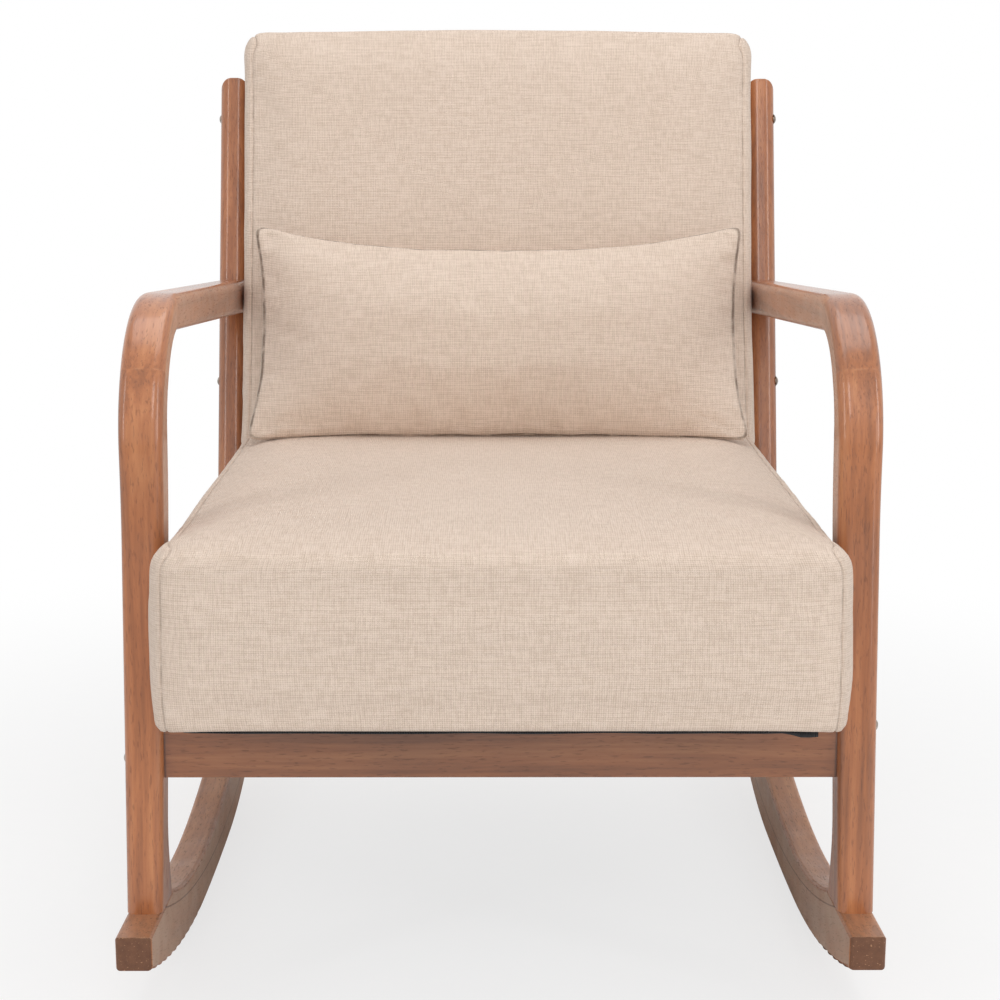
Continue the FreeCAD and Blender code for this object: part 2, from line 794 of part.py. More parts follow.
def back_bolt_set(side):
    """Bolts from one post into the back's stile, their sleeves, and holes for both."""
    bolts = []
    sleeves = []
    bolt_holes = []
    sleeve_holes = []
    toward = inward * side
    for height in (back_bottom + back_bolt_low_margin, back_top - back_bolt_high_margin):
        start = reclined_point(side * outer_x, back_bolt_depth - side * back_bolt_stagger, height)
        bolts.append(domed_bolt(start, toward, back_bolt_length))
        bolt_holes.append(hole(start, toward, back_bolt_length + hole_clearance, bolt_radius))
        ring = V(side * post_inner_x, start.y, start.z)
        length = post_inner_x - back_frame_half
        sleeves.append(pin(ring, toward, length, back_spacer_radius).cut(bolt_holes[-1]))
        sleeve_holes.append(hole(ring, toward, length, back_spacer_radius))
    return bolts, sleeves, bolt_holes, sleeve_holes


right_back_bolts, right_sleeves, right_back_holes, right_sleeve_holes = back_bolt_set(1)
left_back_bolts, left_sleeves, left_back_holes, left_sleeve_holes = back_bolt_set(-1)


def arm_bolt_seat():
    """Where the arm's bolt meets the rear face of the post."""
    height = (arm_line(post_knee_y, arm_front_thickness / 2, arm_rear_thickness / 2).z
              - post_knee_height) / math.cos(recline)
    depth = post_depth + (post_top_depth - post_depth) * height / post_length
    return reclined_point(outer_x - post_thickness / 2, depth, height)


arm_bolt_lean = recline - math.atan((post_depth - post_top_depth) / post_length)
arm_bolt_axis = V(0, -math.cos(arm_bolt_lean), math.sin(arm_bolt_lean))
arm_bolt = domed_bolt(arm_bolt_seat(), arm_bolt_axis, arm_bolt_length)
arm_hole = hole(arm_bolt_seat(), arm_bolt_axis, arm_bolt_length + hole_clearance, bolt_radius)


def foot_fixings(y, pad_front, pad_rear):
    """Screw and two dowels up through the rocker into a foot, and their holes."""
    axis = -pad_normal(pad_front, pad_rear)
    along = (pad_rear - pad_front).normalize()
    pad = pad_front + along * ((y - pad_front.y) / along.y)
    middle = V(rocker_middle_x, pad.y, pad.z)
    bottom = underside(y, rocker_screw_recess)
    start = middle + axis * ((bottom.z - pad.z) / axis.z)
    screw = headed_screw(
        start, axis, rocker_screw_length, bolt_radius, rocker_screw_head_radius, rocker_screw_head_length)
    mouth = start - axis * (2 * rocker_screw_recess)
    mouth_length = 2 * rocker_screw_recess + rocker_screw_head_length + hole_clearance
    holes = [
        hole(start, axis, rocker_screw_length + hole_clearance, bolt_radius),
        hole(mouth, axis, mouth_length, rocker_screw_head_radius),
    ]
    dowels = []
    for side in (-1, 1):
        plug, room = dowel(middle + along * (side * elbow_dowel_spacing), axis)
        dowels.append(plug)
        holes.append(room)
    return screw, dowels, holes


leg_screw, leg_foot_dowels, leg_foot_holes = foot_fixings(
    (foot_front_y + foot_rear_y) / 2, nose_top, foot_pad_rear)
post_screw, post_foot_dowels, post_foot_holes = foot_fixings(
    post_knee_y + post_depth / 2, post_pad_front, post_pad_rear)
foot_holes = leg_foot_holes + post_foot_holes

# Elbow dowels: a pair across each glued joint of the bent line
elbow_dowels = []
elbow_dowel_holes = []
for degrees in (elbow_lower_joint_degrees, elbow_upper_joint_degrees):
    for side in (-1, 1):
        middle = elbow_point(degrees) + across_x * (side * elbow_dowel_spacing / 2)
        plug, room = dowel(middle, elbow_normal(degrees))
        elbow_dowels.append(plug)
        elbow_dowel_holes.append(room)

# Rail dowels: side rails into the leg and the post, rear rail into the side rails
rail_dowels = []
rail_dowel_holes = []
for height in (rail_middle_height, rail_middle_height - dowel_spacing):
    for middle, axis in (
            (V(side_rail_middle_x, side_rail.BoundBox.YMin + dowel_length / 8, height), rearward),
            (V(side_rail_middle_x, side_rail.BoundBox.YMax, height), rearward),
            (V(side_rail_x, rear_rail_y + rail_thickness / 2, height), across_x)):
        plug, room = dowel(middle, axis)
        rail_dowels.append(plug)
        rail_dowel_holes.append(room)

# Block screws: up through each corner block and the dust cover into the seat's side boards
block_screws = []
block_screw_holes = []
for y in (front_rail_y + rail_thickness + block_screw_offset, rear_rail_y - block_screw_offset):
    start = V(seat_frame_half - seat_board_thickness / 2, y, rail_top_height - corner_block_height)
    block_screws.append(headed_screw(
        start, upward, block_screw_length, block_screw_radius, block_screw_head_radius, block_screw_head_length))
    block_screw_holes.append(hole(start, upward, block_screw_length + hole_clearance, block_screw_radius))
    block_screw_holes.append(
        hole(start, upward, block_screw_head_length + hole_clearance, block_screw_head_radius))


def both(shapes):
    """Right-hand shapes and their mirror images."""
    return list(shapes) + [mirrored(shape) for shape in shapes]


def drilled(solid, cutters):
    """A piece with its holes taken out of it."""
    for cutter in cutters:
        solid = solid.cut(cutter)
    return solid


def pair(name, solid, holes=(), right_holes=(), left_holes=()):
    """Store a drilled right-hand piece and its mirror image, each with holes of its own."""
    common = drilled(solid, holes)
    nodes[name + "_right"] = drilled(common, right_holes)
    nodes[name + "_left"] = drilled(mirrored(common), left_holes)


# Wood frame
pair("rocker", rocker, foot_holes)
leg_holes = leg_foot_holes + elbow_dowel_holes + rail_dowel_holes
pair("front_leg", leg, leg_holes, right_rail_holes, left_rail_holes)
pair("elbow", elbow, elbow_dowel_holes)
pair("armrest", arm, elbow_dowel_holes + [arm_hole])
post_holes = post_foot_holes + rail_dowel_holes + [arm_hole]
pair("rear_post", post, post_holes, right_back_holes, left_back_holes)
pair("side_rail", side_rail, rail_dowel_holes)
nodes["front_rail"] = drilled(front_rail, right_rail_holes + left_rail_holes)
nodes["rear_rail"] = drilled(rear_rail, both(rail_dowel_holes))
pair("corner_block_front", front_block, block_screw_holes)
pair("corner_block_rear", rear_block, block_screw_holes)

# Seat
seat_cover, seat_foam = make_seat()
side_board, front_board, rear_board = seat_boards()
long_straps, cross_straps = seat_straps()
pair("seat_board", side_board, block_screw_holes)
nodes["seat_board_front"] = front_board
nodes["seat_board_rear"] = rear_board
nodes["seat_long_straps"] = Part.makeCompound(long_straps)
nodes["seat_cross_straps"] = Part.makeCompound(cross_straps)
nodes["seat_foam"] = seat_foam
nodes["seat_cover"] = seat_cover
nodes["dust_cover"] = drilled(make_dust_cover(), both(block_screw_holes))

# Back
back_cover, back_foam = make_back()
stile, back_bottom_board, back_top_board = back_boards()
pair("back_stile", reclined(stile), (), right_back_holes, left_back_holes)
nodes["back_bottom_board"] = reclined(back_bottom_board)
nodes["back_top_board"] = reclined(back_top_board)
nodes["back_straps"] = reclined(Part.makeCompound(back_straps()))
nodes["back_foam"] = reclined(back_foam)
nodes["back_cover"] = drilled(reclined(back_cover), right_sleeve_holes + left_sleeve_holes)
nodes["back_panel"] = reclined(back_block(0, back_frame_rear, back_rear_depth))

# Pillow
nodes["pillow_cover"] = reclined(pillow_form(0).cut(pillow_form(pillow_wall)))
nodes["pillow_filling"] = reclined(pillow_form(pillow_wall + joint_gap))

# Fasteners
nodes["rocker_screws"] = Part.makeCompound(both([leg_screw, post_screw]))
nodes["foot_dowels"] = Part.makeCompound(both(leg_foot_dowels + post_foot_dowels))
nodes["elbow_dowels"] = Part.makeCompound(both(elbow_dowels))
nodes["rail_dowels"] = Part.makeCompound(both(rail_dowels))
nodes["rail_bolts"] = Part.makeCompound(right_bolts + left_bolts)
nodes["barrel_nuts"] = Part.makeCompound(right_nuts + left_nuts)
nodes["back_bolts"] = Part.makeCompound(right_back_bolts + left_back_bolts)
nodes["back_spacers"] = Part.makeCompound(right_sleeves + left_sleeves)
nodes["arm_bolts"] = Part.makeCompound(both([arm_bolt]))
nodes["block_screws"] = Part.makeCompound(both(block_screws))

os.makedirs("parts", exist_ok=True)
for name, shape in nodes.items():
    placed = shape.copy()
    placed.translate(yz(-rocker_length / 2, 0))
    placed.exportStep("parts/" + name + ".step")
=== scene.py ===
import math

import bmesh
import bpy
from mathutils import Matrix, Quaternion, Vector, kdtree, noise


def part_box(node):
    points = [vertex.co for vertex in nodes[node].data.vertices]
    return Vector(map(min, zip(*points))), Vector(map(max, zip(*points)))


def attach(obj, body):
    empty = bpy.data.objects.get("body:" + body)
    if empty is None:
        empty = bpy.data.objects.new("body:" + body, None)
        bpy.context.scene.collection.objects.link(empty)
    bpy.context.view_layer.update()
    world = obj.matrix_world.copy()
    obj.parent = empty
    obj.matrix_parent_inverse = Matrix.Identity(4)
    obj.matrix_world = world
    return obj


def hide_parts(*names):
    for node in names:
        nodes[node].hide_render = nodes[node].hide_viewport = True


# Rocking armchair: varnished wood frame, linen seat, back and lumbar pillow.
# Metres throughout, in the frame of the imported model.

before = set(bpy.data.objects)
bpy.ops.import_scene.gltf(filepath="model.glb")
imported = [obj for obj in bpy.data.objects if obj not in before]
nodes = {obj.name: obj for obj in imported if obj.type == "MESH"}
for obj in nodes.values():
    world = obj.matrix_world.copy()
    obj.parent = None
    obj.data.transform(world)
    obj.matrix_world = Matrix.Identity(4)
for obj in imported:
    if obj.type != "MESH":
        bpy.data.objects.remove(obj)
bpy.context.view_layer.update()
scene = bpy.context.scene

mm = 0.001
chair = "chair"
pillow = "pillow"

# Lean of the back and the pillow, and the knee of the rear posts that it turns about
recline = math.radians(14.9)
knee = Vector((0, 232.5 * mm, 300 * mm))
lean = Matrix.Translation(knee) @ Matrix.Rotation(-recline, 4, "X")
stand_up = Matrix.Rotation(math.pi / 2, 4, "X")


def upright_box(node):
    """Lowest and highest corner of a reclined piece, measured as it would stand upright."""
    inverse = lean.inverted()
    points = [inverse @ vertex.co for vertex in nodes[node].data.vertices]
    low = Vector([min(point[axis] for point in points) for axis in range(3)])
    high = Vector([max(point[axis] for point in points) for axis in range(3)])
    return low, high


# Camera at the photograph's place
camera_place = Vector((-11.016, -1904.729, 773.958)) * mm
camera_pitch = 0.2016
camera_turn = 0.00636
camera_roll = 0.0016
camera_lens = 68.4


def make_camera():
    """Camera that looks slightly down on the chair from the front."""
    data = bpy.data.cameras.new("camera")
    data.lens = camera_lens
    data.sensor_width = 36
    data.clip_end = 60
    camera = bpy.data.objects.new("camera", data)
    ahead = Vector((math.sin(camera_turn) * math.cos(camera_pitch),
                    math.cos(camera_turn) * math.cos(camera_pitch),
                    -math.sin(camera_pitch)))
    camera.location = camera_place
    camera.rotation_mode = "QUATERNION"
    roll = Quaternion((0, 0, 1), camera_roll)
    camera.rotation_quaternion = ahead.to_track_quat("-Z", "Y") @ roll
    scene.collection.objects.link(camera)
    scene.camera = camera


make_camera()


# Node tree helpers
def put(tree, kind, feeds=(), **settings):
    """Add a node, set it up and feed its inputs with values or with other nodes' outputs."""
    node = tree.nodes.new(kind)
    for name, value in settings.items():
        setattr(node, name, value)
    for socket, value in feeds:
        if isinstance(value, bpy.types.NodeSocket):
            tree.links.new(value, node.inputs[socket])
        else:
            node.inputs[socket].default_value = value
    return node


def calc(tree, operation, *values):
    """One step of arithmetic."""
    return put(tree, "ShaderNodeMath", list(enumerate(values)), operation=operation).outputs[0]


def times(tree, first, second):
    """Product of two values."""
    return calc(tree, "MULTIPLY", first, second)


def spread_of(tree, value, low, high, out_low=0.0, out_high=1.0):
    """Smooth step from one value to another between two limits."""
    feeds = [("Value", value), ("From Min", low), ("From Max", high),
             ("To Min", out_low), ("To Max", out_high)]
    return put(tree, "ShaderNodeMapRange", feeds, interpolation_type="SMOOTHSTEP").outputs[0]


def tint(tree, factor, first, second, mode="MIX"):
    """Mix of two colours."""
    feeds = [(0, factor), (6, first), (7, second)]
    return put(tree, "ShaderNodeMix", feeds, data_type="RGBA", blend_type=mode).outputs[2]


def cloud(tree, vector, scale, detail=2.0, roughness=0.5):
    """Soft noise between 0 and 1."""
    feeds = [("Vector", vector), ("Scale", scale), ("Detail", detail), ("Roughness", roughness)]
    return put(tree, "ShaderNodeTexNoise", feeds).outputs[0]


def vector_calc(tree, operation, *values):
    """One step of vector arithmetic."""
    feeds = list(enumerate(values))
    return put(tree, "ShaderNodeVectorMath", feeds, operation=operation).outputs[0]


def scaled(tree, vector, factor):
    """Vector times a number."""
    feeds = [(0, vector), ("Scale", factor)]
    return put(tree, "ShaderNodeVectorMath", feeds, operation="SCALE").outputs[0]


def stretched(tree, vector, factors):
    """Coordinates scaled by a factor along each axis."""
    return vector_calc(tree, "MULTIPLY", vector, factors)


def axes_of(tree, vector):
    """The three parts of a vector."""
    return put(tree, "ShaderNodeSeparateXYZ", [(0, vector)]).outputs


def object_place(tree):
    """Coordinates in metres in the piece's own frame."""
    return put(tree, "ShaderNodeTexCoord").outputs["Object"]


def rgb(red, green, blue):
    """Opaque colour."""
    return (red, green, blue, 1)


def start_group(name, inputs, outputs):
    """New shader node group with its sockets, and its input and output nodes."""
    tree = bpy.data.node_groups.new(name, "ShaderNodeTree")
    for label, kind, value in inputs:
        socket = tree.interface.new_socket(
            label, in_out="INPUT", socket_type="NodeSocket" + kind)
        if kind != "Vector":
            socket.default_value = value
    for label, kind in outputs:
        tree.interface.new_socket(label, in_out="OUTPUT", socket_type="NodeSocket" + kind)
    given = tree.nodes.new("NodeGroupInput").outputs
    return tree, given, tree.nodes.new("NodeGroupOutput").inputs


def use_group(tree, group, feeds):
    """Place a group in a material and return its outputs."""
    return put(tree, "ShaderNodeGroup", feeds, node_tree=group).outputs


# Shared effects
linen_pitch = 0.0019
thread_wander = 0.0016
grain_sway = 0.03


def make_weave_group():
    """Plain weave on coordinates in metres: thread tone, thread height and gaps."""
    tree, given, made = start_group(
        "plain_weave",
        [("Vector", "Vector", None), ("Pitch", "Float", linen_pitch), ("Slub", "Float", 0.5)],
        [("Tone", "Float"), ("Height", "Float")])
    wander = put(tree, "ShaderNodeTexNoise",
                 [("Vector", given["Vector"]), ("Scale", 30.0), ("Detail", 3.0)])
    shift = vector_calc(tree, "SUBTRACT", wander.outputs["Color"], (0.5, 0.5, 0.5))
    laid = vector_calc(tree, "ADD", given["Vector"], scaled(tree, shift, thread_wander))
    threads = scaled(tree, laid, calc(tree, "DIVIDE", 1.0, given["Pitch"]))
    parts = axes_of(tree, threads)
    waves = []
    turns = []
    for part in (parts[0], parts[1]):
        half_turn = times(tree, part, math.pi)
        turn = calc(tree, "COSINE", half_turn)
        turns.append(turn)
        waves.append(times(tree, turn, turn))
    cross = times(tree, turns[0], turns[1])
    over = calc(tree, "MULTIPLY_ADD", cross, 0.5, 0.5)
    under = calc(tree, "SUBTRACT", 1.0, over)
    relief = calc(tree, "ADD", times(tree, waves[0], over),
                  times(tree, waves[1], under))
    warp = cloud(tree, stretched(tree, threads, (1.0, 0.16, 1.0)), 0.9, 1.0)
    weft = cloud(tree, stretched(tree, threads, (0.09, 1.0, 1.0)), 0.9, 1.0)
    yarn = calc(tree, "ADD", times(tree, warp, over),
                times(tree, weft, under))
    slubs = spread_of(tree, yarn, 0.32, 0.68)
    fuzz = cloud(tree, threads, 0.8, 3.0, 0.7)
    tone = calc(tree, "MULTIPLY_ADD", slubs, given["Slub"],
                times(tree, fuzz, 0.6))
    tree.links.new(tone, made["Tone"])
    height = calc(tree, "MULTIPLY_ADD", slubs, 0.35, relief)
    tree.links.new(height, made["Height"])
    return tree


def make_grain_group():
    """Stained wood grain on coordinates in metres whose Z runs along the grain."""
    tree, given, made = start_group(
        "wood_grain",
        [("Vector", "Vector", None), ("Figure", "Float", 1.0)],
        [("Tone", "Float"), ("Pores", "Float"), ("Height", "Float")])
    slow = stretched(tree, given["Vector"], (9.0, 9.0, 1.6))
    bend = put(tree, "ShaderNodeTexNoise",
               [("Vector", slow), ("Scale", 1.0), ("Detail", 2.0)]).outputs["Color"]
    flow = vector_calc(tree, "ADD", given["Vector"], scaled(tree, bend, grain_sway))
    broad = cloud(tree, stretched(tree, flow, (55.0, 55.0, 2.4)), 1.0, 3.0)
    fibre = cloud(tree, stretched(tree, flow, (330.0, 330.0, 14.0)), 1.0, 3.0, 0.6)
    bands = put(tree, "ShaderNodeTexWave",
                [("Vector", stretched(tree, flow, (1.0, 1.0, 0.03))), ("Scale", 38.0),
                 ("Distortion", 5.0), ("Detail", 3.0), ("Detail Scale", 2.2)],
                bands_direction="X").outputs["Fac"]
    tone = calc(tree, "MULTIPLY_ADD", broad, 0.75, times(tree, fibre, 0.42))
    figure = times(tree, bands, times(tree, given["Figure"], 0.16))
    tone = calc(tree, "ADD", tone, figure)
    tree.links.new(tone, made["Tone"])
    specks = cloud(tree, stretched(tree, flow, (720.0, 720.0, 95.0)), 1.0, 2.0)
    pores = spread_of(tree, specks, 0.56, 0.70)
    tree.links.new(pores, made["Pores"])
    relief = calc(tree, "SUBTRACT", times(tree, fibre, 0.5), pores)
    tree.links.new(relief, made["Height"])
    return tree


def make_edge_group():
    """Mask of worn edges, broken up by noise, and how far the edge faces upwards, which the rocker
    uses to keep its wear, partly a painted highlight, to its top edges.
    """
    tree, given, made = start_group(
        "edge_wear",
        [("Vector", "Vector", None), ("Width", "Float", 0.003)],
        [("Wear", "Float"), ("Lift", "Float")])
    soft = put(tree, "ShaderNodeBevel", [("Radius", given["Width"])], samples=4).outputs[0]
    plain = put(tree, "ShaderNodeNewGeometry").outputs["Normal"]
    facing = put(tree, "ShaderNodeVectorMath", [(0, soft), (1, plain)],
                 operation="DOT_PRODUCT").outputs["Value"]
    edge = spread_of(tree, facing, 0.995, 0.80)
    rubbed = spread_of(tree, cloud(tree, given["Vector"], 85.0, 4.0, 0.65), 0.42, 0.62)
    tree.links.new(times(tree, edge, rubbed), made["Wear"])
    tree.links.new(axes_of(tree, soft)[2], made["Lift"])
    return tree


weave_group = make_weave_group()
grain_group = make_grain_group()
edge_group = make_edge_group()


# Materials
def start_material(name, **constants):
    """New material with its shader, whose plain sockets are set here."""
    material = bpy.data.materials.new(name)
    material.use_nodes = True
    tree = material.node_tree
    shader = tree.nodes["Principled BSDF"]
    for label, value in constants.items():
        shader.inputs[label.replace("_", " ")].default_value = value
    return material, tree, shader.inputs


def painted(tree, inputs, color, rough):
    """Feed a colour and a roughness into the shader."""
    tree.links.new(color, inputs["Base Color"])
    tree.links.new(rough, inputs["Roughness"])


def bumped(tree, inputs, height, distance, strength=1.0):
    """Feed a height into the shader's normal."""
    feeds = [("Height", height), ("Distance", distance), ("Strength", strength)]
    tree.links.new(put(tree, "ShaderNodeBump", feeds).outputs[0], inputs["Normal"])


linen_light = rgb(0.835, 0.690, 0.583)
linen_dark = rgb(0.600, 0.465, 0.365)
# Dark colour of the needle marks and of the painted shade in the seams' creases
stitch_and_crease_shade = rgb(0.15, 0.10, 0.065)
needle_pitch = 0.0042


def make_linen(name, line_at, strength, needles):
    """Woven linen, with a painted crease shade and needle marks at a given nearness to the piece's
    seams.
    """
    material, tree, inputs = start_material(
        name, Sheen_Weight=0.15, Sheen_Roughness=0.45, Specular_IOR_Level=0.25)
    place = put(tree, "ShaderNodeTexCoord").outputs
    weave = use_group(tree, weave_group,
                      [("Vector", place["UV"]), ("Pitch", linen_pitch), ("Slub", 0.35)])
    mottle = cloud(tree, place["Object"], 14.0, 4.0, 0.6)
    # Colour from the threads' tone and mottling, and painted shade from their height, darker in
    # the weave's hollows
    shade = calc(tree, "MULTIPLY_ADD", weave["Height"], 0.5,
                 times(tree, weave["Tone"], 0.42))
    shade = calc(tree, "MULTIPLY_ADD", mottle, 0.16, shade)
    color = tint(tree, spread_of(tree, shade, 0.1, 1.0), linen_dark, linen_light)
    near = put(tree, "ShaderNodeAttribute", attribute_name="seam_nearness").outputs["Fac"]
    run = put(tree, "ShaderNodeAttribute", attribute_name="seam_run").outputs["Fac"]
    away = calc(tree, "ABSOLUTE", calc(tree, "SUBTRACT", near, line_at))
    # Painted shade of the seam's crease: a dark line at the given nearness, broken up by noise
    line = spread_of(tree, away, 0.13, 0.03)
    patchy = spread_of(tree, cloud(tree, place["Object"], 45.0, 3.0, 0.6), 0.36, 0.58,
                       0.3 * strength, strength)
    needle = calc(tree, "SINE", times(tree, run, 2 * math.pi / needle_pitch))
    marks = times(tree, spread_of(tree, away, 0.16, 0.08),
                  spread_of(tree, needle, 0.5, 0.9))
    marks = times(tree, marks, needles)
    dark = calc(tree, "MAXIMUM", times(tree, line, patchy), marks)
    color = tint(tree, times(tree, dark, 0.85), color, stitch_and_crease_shade)
    painted(tree, inputs, color, spread_of(tree, weave["Tone"], 0.0, 1.0, 0.96, 0.80))
    height = calc(tree, "SUBTRACT", weave["Height"], times(tree, dark, 0.8))
    bumped(tree, inputs, height, 0.0005, 0.9)
    return material


stain_dark = rgb(0.215, 0.066, 0.018)
stain_middle = rgb(0.400, 0.132, 0.040)
stain_light = rgb(0.560, 0.225, 0.082)
# Dark stain of the pores, glue lines and finger joints, also the colour of the painted shade at
# the front rail's joints
dark_stain_and_shade = rgb(0.085, 0.026, 0.010)
# Pale colour of rubbed edges and of the end grain's vessels; on the rocker's top edges it is
# partly a painted highlight
pale_tone_and_highlight = rgb(0.66, 0.36, 0.19)
# Pale colour painted as the sheen on the rocker's sides and as light on its upper faces
painted_pale_light = rgb(0.56, 0.385, 0.275)
end_dark = rgb(0.110, 0.040, 0.017)
end_light = rgb(0.205, 0.084, 0.038)


def stained(tree, factor):
    """Colour of the stain, from dark to light."""
    ramp = put(tree, "ShaderNodeValToRGB", [("Fac", factor)])
    ramp.color_ramp.elements[0].color = stain_dark
    ramp.color_ramp.elements[1].color = stain_light
    ramp.color_ramp.elements.new(0.45).color = stain_middle
    return ramp.outputs[0]


def varnish(tree, inputs, color, place, pores, low, high):
    """Colour under a gloss that is uneven, and duller in the pores."""
    rough = spread_of(tree, cloud(tree, place, 35.0, 3.0), 0.3, 0.7, low, high)
    painted(tree, inputs, color, calc(tree, "MULTIPLY_ADD", pores, 0.25, rough))


def make_stained_wood(name, turn, shift, depth=1.0, joint_at=0.0):
    """Varnished wood whose grain runs along Z once turned, with painted shade at a joint."""
    material, tree, inputs = start_material(
        name, Coat_Weight=0.9, Coat_Roughness=0.17, Specular_IOR_Level=0.5)
    place = object_place(tree)
    feeds = [("Vector", place), ("Location", shift), ("Rotation", turn)]
    along = put(tree, "ShaderNodeMapping", feeds).outputs[0]
    grain = use_group(tree, grain_group, [("Vector", along), ("Figure", 0.35)])
    color = stained(tree, spread_of(tree, grain["Tone"], 0.28, 1.02))
    color = tint(tree, times(tree, grain["Pores"], 0.36), color, dark_stain_and_shade)
    wear = use_group(tree, edge_group, [("Vector", place), ("Width", 0.0028)])["Wear"]
    color = tint(tree, times(tree, wear, 0.3), color, pale_tone_and_highlight)
    blotch = spread_of(tree, cloud(tree, place, 4.5, 3.0), 0.3, 0.7, 0.86 * depth, 1.12 * depth)
    feeds = [(0, blotch), (1, blotch), (2, blotch)]
    grey = put(tree, "ShaderNodeCombineColor", feeds).outputs[0]
    color = tint(tree, 1.0, color, grey, "MULTIPLY")
    if joint_at:
        # Painted shade where the rail meets the legs: the last few millimetres at each end are
        # darkened
        side = calc(tree, "ABSOLUTE", axes_of(tree, place)[0])
        painted_joint_shade = spread_of(tree, side, joint_at - 0.0035, joint_at - 0.0015, 0.0, 0.85)
        color = tint(tree, painted_joint_shade, color, dark_stain_and_shade)
    varnish(tree, inputs, color, place, grain["Pores"], 0.34, 0.47)
    bumped(tree, inputs, grain["Height"], 0.00022, 0.55)
    return material


def make_rocker_wood():
    """Laminated rocker: grain along its bow, a glue line, finger joints and dark end grain, with
    painted sheen on its sides and painted light on its upper faces and top edges.
    """
    material, tree, inputs = start_material(
        "rocker_wood", Coat_Weight=0.22, Coat_Roughness=0.28, Specular_IOR_Level=0.4)
    place = object_place(tree)
    parts = axes_of(tree, place)
    drop = calc(tree, "SUBTRACT", rocker_bow_radius, parts[2])
    reach = calc(tree, "SUBTRACT", parts[1], rocker_bow_y)
    square = calc(tree, "ADD", times(tree, drop, drop),
                  times(tree, reach, reach))
    height = calc(tree, "SUBTRACT", rocker_bow_radius, calc(tree, "SQRT", square))
    run = times(tree, calc(tree, "ARCTAN2", reach, drop), rocker_bow_radius)
    along = put(tree, "ShaderNodeCombineXYZ", [(0, parts[0]), (1, height), (2, run)]).outputs[0]
    grain = use_group(tree, grain_group, [("Vector", along), ("Figure", 0.5)])
    teeth = calc(tree, "PINGPONG", calc(tree, "DIVIDE", height, finger_pitch), 1.0)
    staggered = calc(tree, "MULTIPLY_ADD", teeth, finger_length, run)
    layer = calc(tree, "GREATER_THAN", height, rocker_glue_height)
    offset = calc(tree, "MULTIPLY_ADD", layer, stave_offset, staggered)
    block = calc(tree, "DIVIDE", offset, stave_length)
    number = calc(tree, "MULTIPLY_ADD", layer, 7.3, calc(tree, "FLOOR", block))
    varied = put(tree, "ShaderNodeTexWhiteNoise", [("W", number)],
                 noise_dimensions="1D").outputs["Value"]
    tone = calc(tree, "ADD", spread_of(tree, grain["Tone"], 0.28, 1.02),
                calc(tree, "MULTIPLY_ADD", varied, 0.22, -0.08))
    color = tint(tree, times(tree, grain["Pores"], 0.6), stained(tree, tone), dark_stain_and_shade)
    glue = calc(tree, "ABSOLUTE", calc(tree, "SUBTRACT", height, rocker_glue_height))
    glue = spread_of(tree, glue, 0.0011, 0.0003)
    joint = calc(tree, "ABSOLUTE", calc(tree, "SUBTRACT", calc(tree, "FRACT", block), 0.5))
    joint = spread_of(tree, joint, 0.4965, 0.4995)
    lines = calc(tree, "MAXIMUM", times(tree, glue, 0.75),
                 times(tree, joint, 0.35))
    color = tint(tree, lines, color, dark_stain_and_shade)
    facing = axes_of(tree, put(tree, "ShaderNodeNewGeometry").outputs["True Normal"])
    # Painted sheen: the side faces are paled, as by the reflection of the white surroundings
    sides = spread_of(tree, calc(tree, "ABSOLUTE", facing[0]), 0.9, 0.99)
    painted_side_sheen = times(tree, sides,
                 spread_of(tree, cloud(tree, place, 22.0, 3.0), 0.3, 0.7, 0.5, 0.85))
    painted_side_sheen = times(tree, painted_side_sheen, calc(tree, "SUBTRACT", 1.0, lines))
    color = tint(tree, painted_side_sheen, color, painted_pale_light)
    # Painted light: faces that turn upwards are paled, more so towards the rear
    painted_top_light = times(tree, spread_of(tree, facing[2], 0.4, 0.7),
                   spread_of(tree, reach, 0.0, 0.25, 0.26, 0.42))
    color = tint(tree, painted_top_light, color, painted_pale_light)
    ends = spread_of(tree, calc(tree, "ABSOLUTE", facing[1]), 0.4, 0.7)
    vessels = cloud(tree, stretched(tree, place, (520.0, 520.0, 700.0)), 1.0, 2.0)
    vessels = spread_of(tree, vessels, 0.66, 0.72)
    end_tone = tint(tree, cloud(tree, place, 160.0, 2.0), end_dark, end_light)
    end_tone = tint(tree, times(tree, vessels, 0.6), end_tone, pale_tone_and_highlight)
    color = tint(tree, ends, color, end_tone)
    edges = use_group(tree, edge_group, [("Vector", place), ("Width", 0.0022)])
    # Edge wear kept to the edges that face upwards, partly a painted highlight along the top edges
    wear = times(tree, edges["Wear"], spread_of(tree, edges["Lift"], 0.1, 0.4, 0.0, 0.6))
    color = tint(tree, wear, color, pale_tone_and_highlight)
    varnish(tree, inputs, color, place, grain["Pores"], 0.36, 0.5)
    bumped(tree, inputs, calc(tree, "SUBTRACT", grain["Height"], lines), 0.00025, 0.6)
    return material


def make_raw_wood(name, light, dark, turn=(0.0, 0.0, 0.0)):
    """Bare sawn wood for the pieces inside the upholstery."""
    material, tree, inputs = start_material(name, Specular_IOR_Level=0.3)
    place = object_place(tree)
    along = put(tree, "ShaderNodeMapping", [("Vector", place), ("Rotation", turn)]).outputs[0]
    grain = use_group(tree, grain_group, [("Vector", along), ("Figure", 1.6)])
    color = tint(tree, spread_of(tree, grain["Tone"], 0.3, 1.0), dark, light)
    color = tint(tree, times(tree, grain["Pores"], 0.3), color, dark)
    saw = put(tree, "ShaderNodeTexWave",
              [("Vector", place), ("Scale", 90.0), ("Distortion", 1.5)]).outputs["Fac"]
    painted(tree, inputs, color, spread_of(tree, grain["Tone"], 0.3, 1.0, 0.85, 0.7))
    bumped(tree, inputs, calc(tree, "MULTIPLY_ADD", saw, 0.4, grain["Height"]), 0.0003)
    return material


